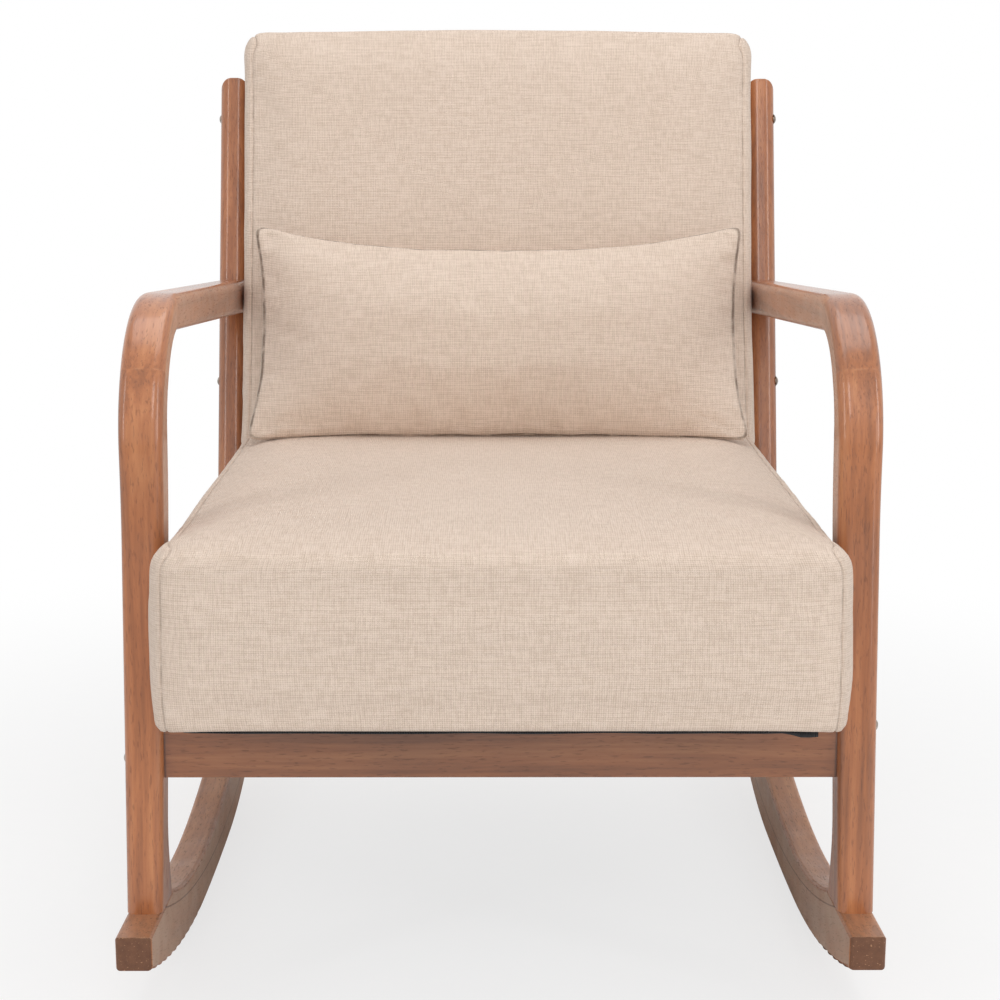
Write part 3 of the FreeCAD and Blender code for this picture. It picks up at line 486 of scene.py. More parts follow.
def make_steel(name, light, dark, roughness):
    """Plated steel with fine turning marks and dull patches."""
    material, tree, inputs = start_material(name, Metallic=1.0)
    place = object_place(tree)
    patches = cloud(tree, place, 260.0, 4.0, 0.6)
    color = tint(tree, spread_of(tree, patches, 0.3, 0.7), dark, light)
    rough = spread_of(tree, patches, 0.25, 0.75, roughness + 0.14, roughness - 0.08)
    painted(tree, inputs, color, rough)
    turned = cloud(tree, stretched(tree, place, (300.0, 2400.0, 2400.0)), 1.0, 2.0)
    bumped(tree, inputs, turned, 0.00008, 0.5)
    return material


def make_foam():
    """Open-celled foam."""
    material, tree, inputs = start_material("foam", Specular_IOR_Level=0.2)
    place = object_place(tree)
    cells = put(tree, "ShaderNodeTexVoronoi",
                [("Vector", place), ("Scale", 850.0)]).outputs["Distance"]
    age = cloud(tree, place, 6.0, 3.0)
    color = tint(tree, age, rgb(0.80, 0.68, 0.42), rgb(0.86, 0.80, 0.62))
    # Painted shade: darker in the hollows of the foam's cells
    color = tint(tree, spread_of(tree, cells, 0.35, 0.0), color, rgb(0.55, 0.42, 0.24))
    painted(tree, inputs, color, spread_of(tree, age, 0.2, 0.8, 0.9, 0.98))
    bumped(tree, inputs, cells, 0.0006)
    return material


def make_webbing(name, turn):
    """Dark elastic webbing."""
    material, tree, inputs = start_material(name, Specular_IOR_Level=0.3)
    place = object_place(tree)
    laid = put(tree, "ShaderNodeMapping", [("Vector", place), ("Rotation", turn)]).outputs[0]
    weave = use_group(tree, weave_group, [("Vector", laid), ("Pitch", 0.0016), ("Slub", 0.4)])
    # Painted shade: the webbing is darker in the weave's hollows and lighter on its raised threads
    color = tint(tree, weave["Height"], rgb(0.03, 0.028, 0.026), rgb(0.13, 0.12, 0.115))
    painted(tree, inputs, color, spread_of(tree, weave["Tone"], 0.0, 1.0, 0.9, 0.7))
    bumped(tree, inputs, weave["Height"], 0.0005)
    return material


def make_dust_cloth():
    """Black non-woven cloth with its grid of pressed dots."""
    material, tree, inputs = start_material("dust_cloth", Specular_IOR_Level=0.2, Sheen_Weight=0.1)
    place = object_place(tree)
    fibres = cloud(tree, stretched(tree, place, (500.0, 900.0, 500.0)), 1.0, 4.0, 0.7)
    dots = put(tree, "ShaderNodeTexVoronoi",
               [("Vector", stretched(tree, place, (1.0, 1.0, 0.0))), ("Scale", 480.0),
                ("Randomness", 0.0)]).outputs["Distance"]
    press = spread_of(tree, dots, 0.18, 0.34)
    color = tint(tree, times(tree, fibres, press),
                 rgb(0.008, 0.008, 0.009), rgb(0.035, 0.034, 0.036))
    painted(tree, inputs, color, spread_of(tree, fibres, 0.2, 0.8, 0.95, 0.75))
    bumped(tree, inputs, calc(tree, "ADD", press, fibres), 0.00025)
    return material


# Bow that the rockers' grain follows, the glue line between their two layers, and the staves
# with their finger joints
rocker_bow_radius = 1.05
rocker_bow_y = 0.02
rocker_glue_height = 0.024
stave_length = 0.23
stave_offset = 0.11
finger_pitch = 0.0022
finger_length = 0.008

# Faint painted crease shade with needle marks on the seat and back, a strong one by the pillow's
# welt
linen = make_linen("linen", 1.0, 0.42, 0.15)
pillow_linen = make_linen("pillow_linen", 0.9, 1.0, 0.0)
quarter = math.pi / 2
front_joint = max(abs(vertex.co.x) for vertex in nodes["front_rail"].data.vertices)
leg_tilt = math.radians(6.4)
elbow_chord = math.radians(57.0)
board_light = rgb(0.70, 0.53, 0.34)
board_dark = rgb(0.47, 0.31, 0.17)
wood_finishes = {
    "front_leg": make_stained_wood("leg_wood", (leg_tilt, 0, 0), (0.11, 0, 0)),
    "elbow": make_stained_wood("elbow_wood", (elbow_chord, 0, 0), (0.31, 0, 0)),
    "armrest": make_stained_wood("arm_wood", (quarter, 0, 0), (0.57, 0, 0)),
    "rear_post": make_stained_wood("post_wood", (recline / 2, 0, 0), (0.83, 0, 0)),
    "front_rail": make_stained_wood(
        "front_rail_wood", (0, quarter, 0), (0, 0.2, 0), 0.68, front_joint),
    "rear_rail": make_stained_wood("rear_rail_wood", (0, quarter, 0), (0, 0.7, 0), 0.9),
    "side_rail": make_stained_wood("side_rail_wood", (quarter, 0, 0), (0.4, 0, 0), 0.9),
    "rocker": make_rocker_wood(),
    "corner_block": make_raw_wood(
        "block_wood", rgb(0.62, 0.44, 0.26), rgb(0.40, 0.25, 0.13), (0, quarter, 0)),
    "seat_board_left": make_raw_wood("board_wood", board_light, board_dark, (quarter, 0, 0)),
    "seat_board_front": make_raw_wood(
        "cross_board_wood", board_light, board_dark, (0, quarter, 0)),
    "back_stile": make_raw_wood(
        "stile_wood", rgb(0.68, 0.50, 0.31), rgb(0.45, 0.29, 0.16), (recline, 0, 0)),
    "foot_dowels": make_raw_wood("dowel_wood", rgb(0.78, 0.62, 0.42), rgb(0.56, 0.40, 0.24)),
}
same_finish = {
    "seat_board_right": "seat_board_left",
    "seat_board_rear": "seat_board_front",
    "back_bottom_board": "seat_board_front",
    "back_top_board": "seat_board_front",
    "elbow_dowels": "foot_dowels",
    "rail_dowels": "foot_dowels",
}
bolt_steel = make_steel("bolt_steel", rgb(0.50, 0.43, 0.37), rgb(0.33, 0.27, 0.22), 0.34)
screw_steel = make_steel("screw_steel", rgb(0.72, 0.66, 0.50), rgb(0.50, 0.44, 0.30), 0.30)
foam = make_foam()
dust_cloth = make_dust_cloth()
length_webbing = make_webbing("length_webbing", (0, 0, 0))
cross_webbing = make_webbing("cross_webbing", (0, 0, quarter))
other_finishes = {
    "rail_bolts": bolt_steel, "back_bolts": bolt_steel, "arm_bolts": bolt_steel,
    "barrel_nuts": screw_steel, "back_spacers": screw_steel, "rocker_screws": screw_steel,
    "block_screws": screw_steel,
    "seat_foam": foam, "back_foam": foam, "pillow_filling": foam,
    "seat_long_straps": length_webbing, "seat_cross_straps": cross_webbing,
    "back_straps": cross_webbing,
}


def finish_of(node):
    """The material of a piece that keeps its own shape."""
    if node in other_finishes:
        return other_finishes[node]
    node = same_finish.get(node, node)
    stem = node.removesuffix("_left").removesuffix("_right")
    plain_stem = stem.removesuffix("_front").removesuffix("_rear")
    for known in (node, stem, plain_stem):
        if known in wood_finishes:
            return wood_finishes[known]
    return linen


for name, piece in nodes.items():
    piece.data.materials.clear()
    piece.data.materials.append(finish_of(name))


# Upholstery: a gridded cube is shaped into a boxed cushion, then simulated
def gridded_cube(cuts):
    """Cube from -1 to 1 whose edges along each axis are cut into a number of parts."""
    bm = bmesh.new()
    bmesh.ops.create_cube(bm, size=2)
    for axis, count in enumerate(cuts):
        edges = [edge for edge in bm.edges
                 if abs(edge.verts[0].co[axis] - edge.verts[1].co[axis]) > 1]
        bmesh.ops.subdivide_edges(bm, edges=edges, cuts=count - 1, use_grid_fill=True)
    return bm


def noise_at(x, y, z):
    """Smooth noise at a place."""
    return noise.noise(Vector((x, y, z)))


def held(value, limit):
    """A value kept between minus and plus a limit."""
    return max(-limit, min(limit, value))


def outline_point(u, v, half_x, half_y, corner):
    """Point on a rectangle with rounded corners from a point on the edge of the unit square."""
    spot = Vector((u * half_x, v * half_y))
    inner = Vector((held(spot.x, half_x - corner), held(spot.y, half_y - corner)))
    outward = spot - inner
    if outward.length > corner:
        outward *= corner / outward.length
    return inner + outward


def cushion_point(size, u, v, t):
    """Where a point of the unit cube lies on a boxed cushion with a crown."""
    half_x, half_y, height, crown = size["half_x"], size["half_y"], size["height"], size["crown"]
    edge = size["edge"]
    ring = max(abs(u), abs(v))
    level = 0.0
    inset = size["foot_inset"]
    share = 0.0
    eighth = edge * math.pi / 4
    if ring > 1 - 1e-6:
        reach = (t + 1) / 2 * (height - edge + eighth)
        if reach < height - edge:
            inset *= max(0.0, 1 - reach / (0.35 * height)) ** 3
            level = reach
        else:
            angle = (reach - height + edge) / edge
            inset = edge - edge * math.cos(angle)
            level = height - edge + edge * math.sin(angle)
        direction = (u, v)
    else:
        direction = (u / ring, v / ring) if ring else (0, 0)
        gone = (1 - ring) * (half_x + half_y) / 2
        if t < 0:
            share = 1 - ring
        elif gone < eighth:
            angle = math.pi / 4 + gone / edge
            inset = edge - edge * math.cos(angle)
            level = height - edge + edge * math.sin(angle)
        else:
            share = (gone - eighth) / ((half_x + half_y) / 2 - eighth)
            inset = edge
            level = height + crown * (1 - (1 - share) ** size["crown_power"])
    wide = (half_x - inset) * (1 - share)
    deep = (half_y - inset) * (1 - share)
    corner = size["low_corner"] if direction[1] < 0 and "low_corner" in size else size["corner"]
    corner = min(corner * (1 - share) + deep * share / 4, wide, deep)
    spot = outline_point(direction[0], direction[1], wide, deep, corner)
    across = 1 - (spot.x / half_x) ** 2
    along = 1 - (spot.y / half_y) ** 2
    spot.x -= size["side_draw"] * along * spot.x / half_x
    spot.y -= (size["low_draw"] if spot.y < 0 else size["high_draw"]) * across * spot.y / half_y
    return Vector((spot.x, spot.y + size["middle_y"], level))


def shape_cushion(size, pitch):
    """Boxed cushion with fabric coordinates; faces of the side panels have material index 1."""
    lengths = (2 * size["half_x"], 2 * size["half_y"], size["height"])
    bm = gridded_cube([max(2, round(length / pitch)) for length in lengths])
    fabric = bm.loops.layers.uv.new("UVMap")
    side_from = 1 - 1.1 * size["seam_inset"] / size["half_x"]
    for face in bm.faces:
        face.material_index = 1 if abs(face.calc_center_median().x) > side_from else 0
    cube_places = {vert: vert.co.copy() for vert in bm.verts}
    for vert, place in cube_places.items():
        vert.co = cushion_point(size, *place)
    half_x, half_y, height = size["half_x"], size["half_y"], size["height"]
    for face in bm.faces:
        middle = sum((cube_places[vert] for vert in face.verts), Vector()) / len(face.verts)
        biggest = max(range(3), key=lambda axis: abs(middle[axis]))
        for loop in face.loops:
            u, v, t = cube_places[loop.vert]
            rise = (t + 1) / 2 * height
            if biggest == 0:
                loop[fabric].uv = (v * half_y + 3, rise)
            elif biggest == 2:
                spot = loop.vert.co
                far = spot.y - size["middle_y"] + half_y
                loop[fabric].uv = (spot.x, height + far - size["edge"] / 2 if t > 0 else -far)
            elif middle.y < 0:
                loop[fabric].uv = (u * half_x, rise)
            else:
                loop[fabric].uv = (u * half_x, 2 * height + 2 * half_y - rise)
    return bm


def to_mesh(bm, name):
    """Mesh from a bmesh, which is freed."""
    mesh = bpy.data.meshes.new(name)
    bm.to_mesh(mesh)
    bm.free()
    return mesh


def simulate(mesh, pins, frames, pressure, reach, stiffness=15.0, growth=0.0):
    """Blow up a cloth mesh a little, and return each vertex's move, held to a reach."""
    trial = bpy.data.objects.new("trial", mesh.copy())
    scene.collection.objects.link(trial)
    group = trial.vertex_groups.new(name="pin")
    for index, weight in pins.items():
        group.add([index], weight, "REPLACE")
    cloth = trial.modifiers.new("Cloth", "CLOTH")
    settings = {
        "quality": 5, "mass": 0.3, "tension_stiffness": stiffness,
        "compression_stiffness": stiffness, "shear_stiffness": stiffness / 3,
        "bending_stiffness": 0.6, "air_damping": 3, "use_pressure": True,
        "uniform_pressure_force": pressure, "shrink_min": -growth,
        "vertex_group_mass": "pin", "pin_stiffness": 20,
    }
    for label, value in settings.items():
        setattr(cloth.settings, label, value)
    cloth.settings.effector_weights.gravity = 0
    cloth.collision_settings.use_collision = False
    cloth.point_cache.frame_end = frames
    for number in range(1, frames + 1):
        scene.frame_set(number)
    blown = trial.evaluated_get(bpy.context.evaluated_depsgraph_get()).to_mesh()
    moves = []
    for before, after in zip(mesh.vertices, blown.vertices):
        move = after.co - before.co
        if move.length > reach:
            move *= reach / move.length
        moves.append(move)
    scene.frame_set(1)
    bpy.data.objects.remove(trial)
    return moves


def evaluated_mesh(trial, name):
    """The finished mesh of a trial object, which is removed."""
    graph = bpy.context.evaluated_depsgraph_get()
    mesh = bpy.data.meshes.new_from_object(trial.evaluated_get(graph))
    mesh.name = name
    bpy.data.objects.remove(trial)
    return mesh


def subdivided(mesh, name):
    """The mesh after one level of subdivision."""
    trial = bpy.data.objects.new("trial", mesh)
    scene.collection.objects.link(trial)
    surface = trial.modifiers.new("Subdivision", "SUBSURF")
    surface.levels = 1
    surface.render_levels = 1
    surface.uv_smooth = "NONE"
    return evaluated_mesh(trial, name)


# Seams: how far a seam's marks, groove, shoulders and puckers reach from it
seam_step = 0.5 * mm
nearness_reach = 10 * mm
sewn_reach = 40 * mm
groove_width = 1.4 * mm
shoulder_at = 5 * mm
shoulder_width = 3 * mm
pucker_reach = 9 * mm


def seam_samples(edges):
    """Points along the seams, each with its distance from the seam's start."""
    # Known fault: a set of edges has no fixed order, so a seam may start elsewhere in each run
    samples = []
    left = set(edges)
    while left:
        edge = left.pop()
        vert = edge.verts[0]
        run = 0.0
        while edge:
            other = edge.other_vert(vert)
            span = (other.co - vert.co).length
            steps = max(1, round(span / seam_step))
            for step in range(steps):
                place = vert.co.lerp(other.co, step / steps)
                samples.append((place, run + span * step / steps))
            run += span
            vert = other
            edge = next((link for link in vert.link_edges if link in left), None)
            left.discard(edge)
    return samples


def sew(bm, depth, width, pucker):
    """Press a groove along the seams between panels, with small puckers beside it."""
    seams = [edge for edge in bm.edges if len(edge.link_faces) == 2
             and edge.link_faces[0].material_index != edge.link_faces[1].material_index]
    samples = seam_samples(seams)
    bmesh.ops.bevel(bm, geom=seams, offset=width, offset_type="OFFSET", affect="EDGES",
                    segments=6, profile=0.5, material=-1)
    bm.normal_update()
    tree = kdtree.KDTree(len(samples))
    for index, (place, run) in enumerate(samples):
        tree.insert(place, index)
    tree.balance()
    near = bm.verts.layers.float.new("seam_nearness")
    along = bm.verts.layers.float.new("seam_run")
    moves = {}
    for vert in bm.verts:
        place, index, distance = tree.find(vert.co)
        run = samples[index][1]
        vert[near] = max(0.0, 1 - distance / nearness_reach)
        vert[along] = run
        if distance < sewn_reach:
            ripple = noise_at(run * 70, 0.5, place.x)
            ripple *= math.exp(-(distance / pucker_reach) ** 2)
            groove = math.exp(-(distance / groove_width) ** 2)
            shoulder = math.exp(-((distance - shoulder_at) / shoulder_width) ** 2)
            lift = pucker * ripple + 0.3 * depth * shoulder - depth * groove
            moves[vert] = vert.normal * lift
    for vert, move in moves.items():
        vert.co += move


def unevenness(bm, amount, scale, flat_below=-math.inf):
    """Slight hand-made unevenness of padded cloth."""
    bm.normal_update()
    for vert in bm.verts:
        if vert.co.z > flat_below:
            swell = noise.noise(vert.co * scale) + 0.5 * noise.noise(vert.co * scale * 2.3)
            vert.co += vert.normal * (amount * swell)


def add_piece(name, mesh, body, material):
    """Object for a finished mesh, riding on a body."""
    for polygon in mesh.polygons:
        polygon.use_smooth = True
        polygon.material_index = 0
    mesh.materials.clear()
    mesh.materials.append(material)
    piece = bpy.data.objects.new(name, mesh)
    scene.collection.objects.link(piece)
    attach(piece, body)
    return piece


# Boxed cushions: grid, and where the foot and the front's bulge begin and end
cushion_pitch = 8.5 * mm
foot_height = 30 * mm
bulge_run = 20 * mm
corner_drop_power = 12


def foot_share(height):
    """One at a cushion's foot, falling to nothing above it."""
    return max(0.0, 1 - height / foot_height)


def upholster(name, size, placing):
    """Shape, simulate, subdivide, sew and place one boxed cushion, held round its foot."""
    mesh = to_mesh(shape_cushion(size, cushion_pitch), name)
    pins = {vertex.index: min(1.0, foot_share(vertex.co.z)) for vertex in mesh.vertices}
    moves = simulate(mesh, pins, frames=20, pressure=2.5, reach=3 * mm)
    for vertex, move in zip(mesh.vertices, moves):
        vertex.co += move
    bm = bmesh.new()
    bm.from_mesh(subdivided(mesh, name))
    bulge = size.get("front_bulge", 0)
    for vert in bm.verts:
        ahead = max(0.0, min(1.0, (size.get("bulge_from", 0) - vert.co.y) / bulge_run))
        rise = max(0.0, math.sin(math.pi * (0.08 + 0.84 * vert.co.z / size["height"])))
        bulged = bulge * ahead * ahead * (3 - 2 * ahead) * rise ** 0.5
        vert.co.x += bulged * vert.co.x / size["half_x"]
        drop = size.get("corner_drop", 0) * foot_share(vert.co.z)
        vert.co.z -= drop * min(1.0, abs(vert.co.x) / size["half_x"]) ** corner_drop_power
    unevenness(bm, 0.8 * mm, 11, 6 * mm)
    sew(bm, 1.2 * mm, 2.3 * mm, 0.7 * mm)
    bmesh.ops.transform(bm, matrix=placing, verts=bm.verts)
    return to_mesh(bm, name)


seat_low, seat_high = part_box("seat_cover")
seat_size = {
    "half_x": (seat_high.x - seat_low.x) / 2,
    "half_y": (seat_high.y - seat_low.y) / 2,
    "middle_y": (seat_high.y + seat_low.y) / 2,
    "height": seat_high.z - seat_low.z - 9 * mm,
    "crown": 10 * mm,
    "crown_power": 6,
    "corner": 24 * mm,
    "corner_drop": 3.5 * mm,
    "edge": 15 * mm,
    "foot_inset": 1.5 * mm,
    "seam_inset": 8.5 * mm,
    "side_draw": 0,
    "low_draw": -1 * mm,
    "high_draw": 2 * mm,
    "front_bulge": 5.5 * mm,
    "bulge_from": -347 * mm,
}
seat_place = Matrix.Translation((0, 0, seat_low.z))
seat_mesh = upholster("seat_linen", seat_size, seat_place)
seat_piece = add_piece("seat_linen", seat_mesh, chair, linen)
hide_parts("seat_cover")

back_low, back_high = upright_box("back_cover")
back_size = {
    "half_x": (back_high.x - back_low.x) / 2,
    "half_y": (back_high.z - back_low.z) / 2 + 7 * mm,
    "middle_y": (back_high.z + back_low.z) / 2 - 7 * mm,
    "height": back_high.y - back_low.y - 11 * mm,
    "crown": 11 * mm,
    "crown_power": 7,
    "corner": 25 * mm,
    "low_corner": 8 * mm,
    "edge": 13 * mm,
    "foot_inset": 3 * mm,
    "seam_inset": 8.5 * mm,
    "side_draw": 2 * mm,
    "low_draw": 0,
    "high_draw": -4.5 * mm,
}
back_place = lean @ Matrix.Translation((0, back_high.y, 0)) @ stand_up
back_mesh = upholster("back_linen", back_size, back_place)
back_piece = add_piece("back_linen", back_mesh, chair, linen)
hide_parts("back_cover")

# Rear panel: linen over a board, with a soft edge
panel_low, panel_high = upright_box("back_panel")
panel_size = {
    "half_x": (panel_high.x - panel_low.x) / 2,
    "half_y": (panel_high.z - panel_low.z) / 2,
    "middle_y": -(panel_high.z + panel_low.z) / 2,
    "height": panel_high.y - panel_low.y,
    "crown": 1.5 * mm,
    "crown_power": 4,
    "corner": 24 * mm,
    "edge": 2.4 * mm,
    "foot_inset": 0,
    "seam_inset": 0,
    "side_draw": 0.8 * mm,
    "low_draw": 0.8 * mm,
    "high_draw": 0.8 * mm,
}
panel_bm = shape_cushion(panel_size, 10 * mm)
panel_place = lean @ Matrix.Translation((0, panel_low.y, 0)) @ Matrix.Rotation(-quarter, 4, "X")
bmesh.ops.transform(panel_bm, matrix=panel_place, verts=panel_bm.verts)
bmesh.ops.recalc_face_normals(panel_bm, faces=panel_bm.faces)
panel_mesh = to_mesh(panel_bm, "back_panel_linen")
panel_piece = add_piece("back_panel_linen", panel_mesh, chair, linen)
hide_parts("back_panel")


# Lumbar pillow: two swollen sheets sewn at their edges, then blown up a little more
pillow_low, pillow_high = upright_box("pillow_cover")
pillow_half = (pillow_high.x - pillow_low.x) / 2
pillow_tall = pillow_high.z - pillow_low.z
pillow_thick = pillow_high.y - pillow_low.y
pillow_middle = (pillow_low + pillow_high) / 2
pillow_pitch = 4.6 * mm
pillow_seam = 5 * mm
piping_radius = 2.5 * mm
# How far the welt's middle is pushed out from the points of its path, and how far the pillow's
# outline may pass the solid's box
piping_reach = 0.8 * piping_radius
pillow_reach = 3 * mm
pillow_inset = piping_reach + piping_radius - pillow_reach
pillow_slump = 14 * mm
pillow_corner = 12 * mm
sag_top = 28
sag_foot = 4
side_draw = 12 * mm
edge_wave = 1.2 * mm
side_wave = 1.8 * mm
# Share of the simulation's moves in the pillow's own plane that is kept
in_plane = 0.25


def pillow_edge(u, v):
    """Seam of the pillow: drawn in between its corners, and a little wavy."""
    half_x = pillow_half - pillow_inset + (5 - 2.5 * v) * mm
    half_y = pillow_tall / 2 - pillow_inset + (2.5 + 5.5 * v) * mm
    spot = outline_point(u, v, half_x, half_y, pillow_corner)
    across = held(spot.x / half_x, 1)
    up = held(spot.y / half_y, 1)
    wave = noise_at(spot.x * 17, spot.y * 17, 7.0)
    sag = (sag_top if up > 0 else sag_foot) * mm
    spot.y -= (sag * (1 - abs(across) ** 2.5) + edge_wave * wave) * up
    spot.x -= (side_draw * (1 - up ** 2) + side_wave * wave) * across
    return spot


def make_pillow():
    """The pillow's two sheets upright and centred, joined all round by a narrow strip."""
    cuts = (round(2 * pillow_half / pillow_pitch), round(pillow_tall / pillow_pitch), 1)
    bm = gridded_cube(cuts)
    fabric = bm.loops.layers.uv.new("UVMap")
    near = bm.verts.layers.float.new("seam_nearness")
    bm.verts.layers.float.new("seam_run")
    rims = {}
    for index, vert in enumerate(bm.verts):
        u, v, t = vert.co
        ring = max(abs(u), abs(v))
        if ring > 1 - 1e-6:
            rims[index] = (math.atan2(v, u), t)
        spot = pillow_edge(u / ring, v / ring) * ring if ring else Vector((0, 0))
        vert[near] = max(0.0, 1 - (1 - ring) * pillow_tall / 2 / nearness_reach)
        swell = 0.0
        if ring < 1 - 1e-6:
            swell = ((1 - abs(u) ** 2.6) ** 0.6) * ((1 - abs(v) ** 2.3) ** 0.6)
        start = pillow_seam / 2 + swell * (0.9 * pillow_thick - pillow_seam) / 2
        slump = pillow_slump * max(0.0, -2 * spot.y / pillow_tall) ** 1.5
        vert.co = Vector((spot.x, -t * start - slump, spot.y))
    for face in bm.faces:
        for loop in face.loops:
            place = loop.vert.co
            loop[fabric].uv = (place.x, place.z + (1 if loop.face.normal.y > 0 else 0))
    bmesh.ops.recalc_face_normals(bm, faces=bm.faces)
    return to_mesh(bm, "pillow_linen"), rims


def pucker_pillow(bm, amount):
    """Small folds that run in from the pillow's seam and die away."""
    bm.normal_update()
    near = bm.verts.layers.float["seam_nearness"]
    for vert in bm.verts:
        inward = (1 - vert[near]) * 10 * mm
        if vert[near] <= 0:
            flat = Vector((vert.co.x / pillow_half, 2 * vert.co.z / pillow_tall))
            ring = min(1.0, max(abs(flat.x), abs(flat.y)))
            inward = 10 * mm + (1 - ring) * pillow_tall / 2
        turn = math.atan2(vert.co.z * pillow_half, vert.co.x * pillow_tall / 2)
        fold = noise_at(math.cos(turn) * 5, math.sin(turn) * 5, 3.0)
        fold += 0.6 * noise_at(math.cos(turn) * 13, math.sin(turn) * 13, 5.0)
        fade = math.exp(-(inward / (16 * mm)) ** 2)
        fade *= 1 - math.exp(-(inward / (3 * mm)) ** 2)
        vert.co += vert.normal * (amount * fold * fade)


pillow_mesh, pillow_rims = make_pillow()
pillow_pins = {index: 1.0 for index in pillow_rims}
moves = simulate(pillow_mesh, pillow_pins, frames=30, pressure=3.5, reach=10 * mm,
                 stiffness=14.0, growth=0.015)
for vertex, move in zip(pillow_mesh.vertices, moves):
    if vertex.index not in pillow_rims:
        vertex.co += Vector((in_plane * move.x, move.y, in_plane * move.z))


def fit_pillow(mesh):
    """Bring the swollen pillow to its thickness."""
    depths = [vertex.co.y for vertex in mesh.vertices]
    share = (pillow_thick + 2 * mm) / (max(depths) - min(depths))
    for vertex in mesh.vertices:
        vertex.co.y *= share


fit_pillow(pillow_mesh)
# Known fault: the two rims' angles differ in their last digits and don't pair up, so most points
# come out at half their distance, and the welt lies inside the pillow
rim_angles = sorted({angle for angle, side in pillow_rims.values()})
rim_sums = {angle: Vector() for angle in rim_angles}
for index, (angle, side) in pillow_rims.items():
    rim_sums[angle] += pillow_mesh.vertices[index].co / 2
seam = [rim_sums[angle] for angle in rim_angles]
rim = []
for index, place in enumerate(seam):
    tangent = seam[(index + 2) % len(seam)] - seam[index - 2]
    rim.append(place + Vector((tangent.z, 0, -tangent.x)).normalized() * piping_reach)


def make_piping(points):
    """Round welt along a closed path."""
    curve = bpy.data.curves.new("piping", "CURVE")
    curve.dimensions = "3D"
    curve.bevel_depth = piping_radius
    curve.bevel_resolution = 3
    spline = curve.splines.new("NURBS")
    spline.points.add(len(points) - 1)
    for point, place in zip(spline.points, points):
        point.co = (*place, 1)
    spline.use_cyclic_u = True
    spline.order_u = 4
    spline.resolution_u = 2
    trial = bpy.data.objects.new("trial", curve)
    scene.collection.objects.link(trial)
    mesh = evaluated_mesh(trial, "pillow_piping")
    fabric = mesh.uv_layers.new(name="UVMap") if not mesh.uv_layers else mesh.uv_layers[0]
    bias = 0.707
    for loop in mesh.loops:
        place = mesh.vertices[loop.vertex_index].co
        fabric.data[loop.index].uv = ((place.x + place.z) * bias,
                                      (place.x - place.z) * bias + place.y)
    return mesh


pillow_place = lean @ Matrix.Translation(pillow_middle)
piping_mesh = make_piping(rim)
piping_mesh.transform(pillow_place)
pillow_bm = bmesh.new()
pillow_bm.from_mesh(subdivided(pillow_mesh, "pillow_linen"))
unevenness(pillow_bm, 0.8 * mm, 14)
pucker_pillow(pillow_bm, 2.4 * mm)
bmesh.ops.transform(pillow_bm, matrix=pillow_place, verts=pillow_bm.verts)
pillow_cloth = to_mesh(pillow_bm, "pillow_linen")
pillow_piece = add_piece("pillow_linen", pillow_cloth, pillow, pillow_linen)
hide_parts("pillow_cover")
add_piece("pillow_piping", piping_mesh, pillow, linen)

# The pillow's filling, just inside its cover
filling_mesh = pillow_mesh.copy()
filling_mesh.name = "pillow_foam"
for vertex in filling_mesh.vertices:
    vertex.co = Vector((vertex.co.x * 0.97, vertex.co.y * 0.88, vertex.co.z * 0.93))
filling_mesh.transform(pillow_place)
filling_piece = add_piece("pillow_foam", filling_mesh, pillow, foam)
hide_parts("pillow_filling")


# Dust cover under the seat: black cloth that sags a little, its front edge hanging loose
dust_corner = 26 * mm
dust_sag = 3.5 * mm
dust_ripple = 0.8 * mm
lip_drop = 2.6
lip_wave = 1.0
loose_drop = 4.0
loose_at = 262 * mm
loose_half = 26 * mm


def make_dust_cover():
    """Sheet with a short loose lip along its front edge."""
    low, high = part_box("dust_cover")
    top = high.z - 0.5 * mm
    bm = bmesh.new()
    bmesh.ops.create_grid(bm, x_segments=72, y_segments=60, size=1)
    half_x = (high.x - low.x) / 2
    half_y = (high.y - low.y) / 2
    middle_y = (high.y + low.y) / 2
    for vert in bm.verts:
        u, v = vert.co.x, vert.co.y
        ring = max(abs(u), abs(v))
        spot = Vector((0, 0))
        if ring:
            spot = outline_point(u / ring, v / ring, half_x, half_y, dust_corner) * ring
        sag = max(0.0, 1 - (u / 0.86) ** 4) * max(0.0, 1 - (v / 0.68) ** 4)
        ripple = noise_at(spot.x * 18, spot.y * 18, 0) * dust_ripple * sag
        vert.co = Vector((spot.x, spot.y + middle_y, top - dust_sag * sag + ripple))
    front = [edge for edge in bm.edges if edge.is_boundary
             and all(vert.co.y < low.y + 3 * mm for vert in edge.verts)]
    lip = bmesh.ops.extrude_edge_only(bm, edges=front)["geom"]
    for vert in lip:
        if isinstance(vert, bmesh.types.BMVert):
            wave = noise_at(vert.co.x * 16, 0.3, 0)
            loose = max(0.0, 1 - abs(vert.co.x - loose_at) / loose_half)
            vert.co.z -= (lip_drop + lip_wave * wave + loose_drop * min(1.0, 2 * loose)) * mm
            vert.co.y += (0.8 + 0.8 * noise_at(vert.co.x * 23, 4.0, 0)) * mm
    mesh = to_mesh(bm, "dust_cover_cloth")
    piece = add_piece("dust_cover_cloth", mesh, chair, dust_cloth)
    solid = piece.modifiers.new("Solidify", "SOLIDIFY")
    solid.thickness = 0.4 * mm
    solid.offset = 0
    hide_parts("dust_cover")


make_dust_cover()


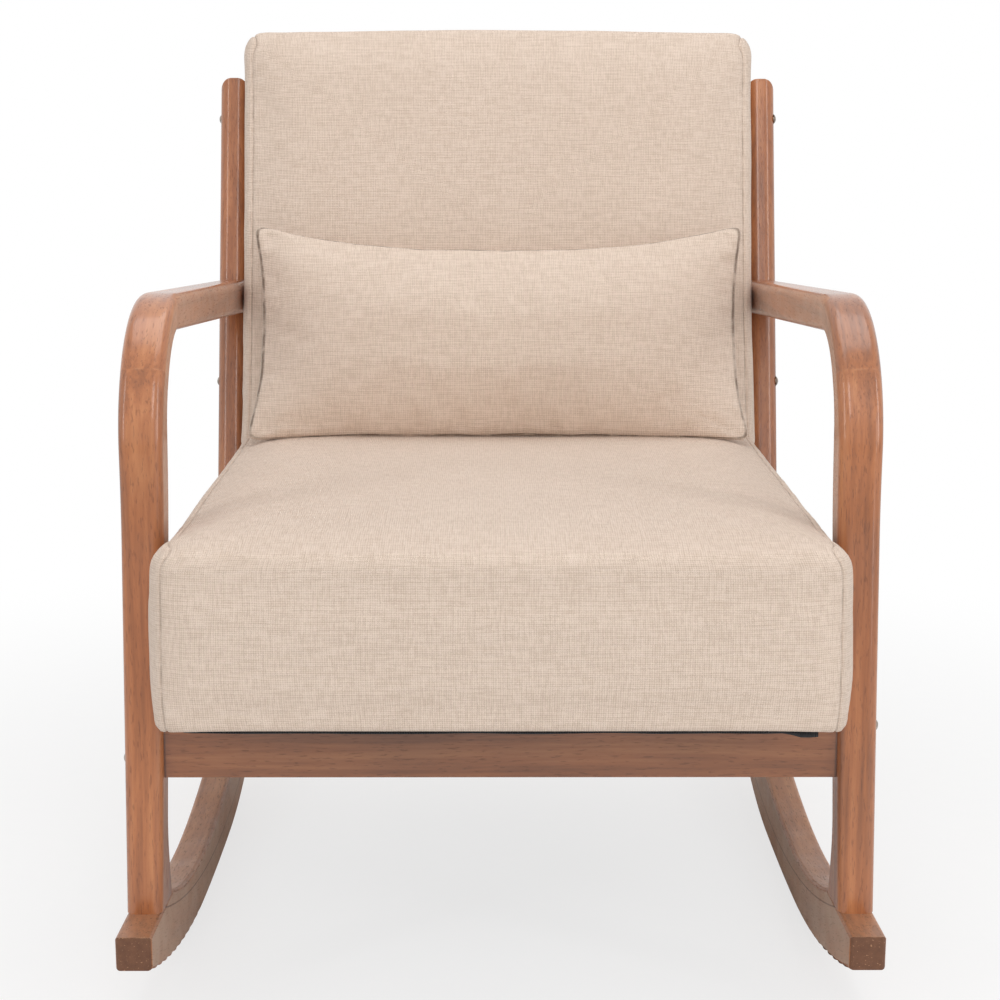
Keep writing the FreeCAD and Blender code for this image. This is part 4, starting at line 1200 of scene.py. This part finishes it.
# Floor, backdrop and light
def make_floor():
    """Pale floor that keeps the chair's shadow and fades into white away from it."""
    bm = bmesh.new()
    bmesh.ops.create_circle(bm, cap_ends=True, segments=96, radius=14)
    mesh = to_mesh(bm, "floor")
    material = bpy.data.materials.new("floor")
    material.use_nodes = True
    tree = material.node_tree
    tree.nodes.remove(tree.nodes["Principled BSDF"])
    place = object_place(tree)
    away = put(tree, "ShaderNodeVectorMath", [(0, place)], operation="LENGTH").outputs["Value"]
    fade = spread_of(tree, away, 0.55, 1.4, 0.72, 1.0)
    speckle = cloud(tree, place, 40.0, 3.0)
    tone = tint(tree, speckle, rgb(0.86, 0.86, 0.86), rgb(0.90, 0.90, 0.90))
    matt = put(tree, "ShaderNodeBsdfDiffuse", [("Color", tone)]).outputs[0]
    white = put(tree, "ShaderNodeEmission",
                [("Color", rgb(1, 1, 1)), ("Strength", 1.0)]).outputs[0]
    seen = put(tree, "ShaderNodeLightPath").outputs["Is Camera Ray"]
    faded = times(tree, fade, seen)
    blend = put(tree, "ShaderNodeMixShader", [(0, faded), (1, matt), (2, white)])
    tree.links.new(blend.outputs[0], tree.nodes["Material Output"].inputs["Surface"])
    mesh.materials.append(material)
    floor = bpy.data.objects.new("floor", mesh)
    scene.collection.objects.link(floor)


def make_world(light_level):
    """Even pale light, with white behind the chair."""
    world = bpy.data.worlds.new("studio")
    world.use_nodes = True
    scene.world = world
    tree = world.node_tree
    ground = tree.nodes["Background"]
    path = put(tree, "ShaderNodeLightPath").outputs
    seen = calc(tree, "MAXIMUM", path["Is Camera Ray"], path["Is Transmission Ray"])
    mirrored = times(tree, path["Is Glossy Ray"], 0.7)
    strength = calc(tree, "MULTIPLY_ADD", calc(tree, "MAXIMUM", seen, mirrored),
                    1.0 - light_level, light_level)
    ground.inputs["Color"].default_value = rgb(1, 1, 1)
    tree.links.new(strength, ground.inputs["Strength"])


def make_lamp(name, place, aim, width, height, power):
    """Soft area light turned towards a point."""
    data = bpy.data.lights.new(name, "AREA")
    data.shape = "RECTANGLE"
    data.size = width
    data.size_y = height
    data.energy = power
    lamp = bpy.data.objects.new(name, data)
    lamp.location = place
    lamp.rotation_mode = "QUATERNION"
    lamp.rotation_quaternion = (Vector(aim) - Vector(place)).to_track_quat("-Z", "Y")
    scene.collection.objects.link(lamp)


make_floor()
make_world(0.56)
make_lamp("top_light", (0.1, 0.1, 2.8), (0, 0.05, 0.4), 2.0, 2.0, 22)
make_lamp("front_light", (0.3, -2.8, 2.2), (0, 0.1, 0.5), 0.7, 1.5, 14)
make_lamp("left_light", (-2.1, -1.7, 1.4), (0, 0, 0.5), 0.3, 1.9, 10)
make_lamp("right_light", (2.1, -1.5, 1.3), (0, 0, 0.5), 0.3, 1.9, 11)
make_lamp("low_light", (1.3, -1.7, 0.65), (0.3, -0.4, 0.35), 0.25, 0.9, 2)

scene.view_settings.view_transform = "Standard"
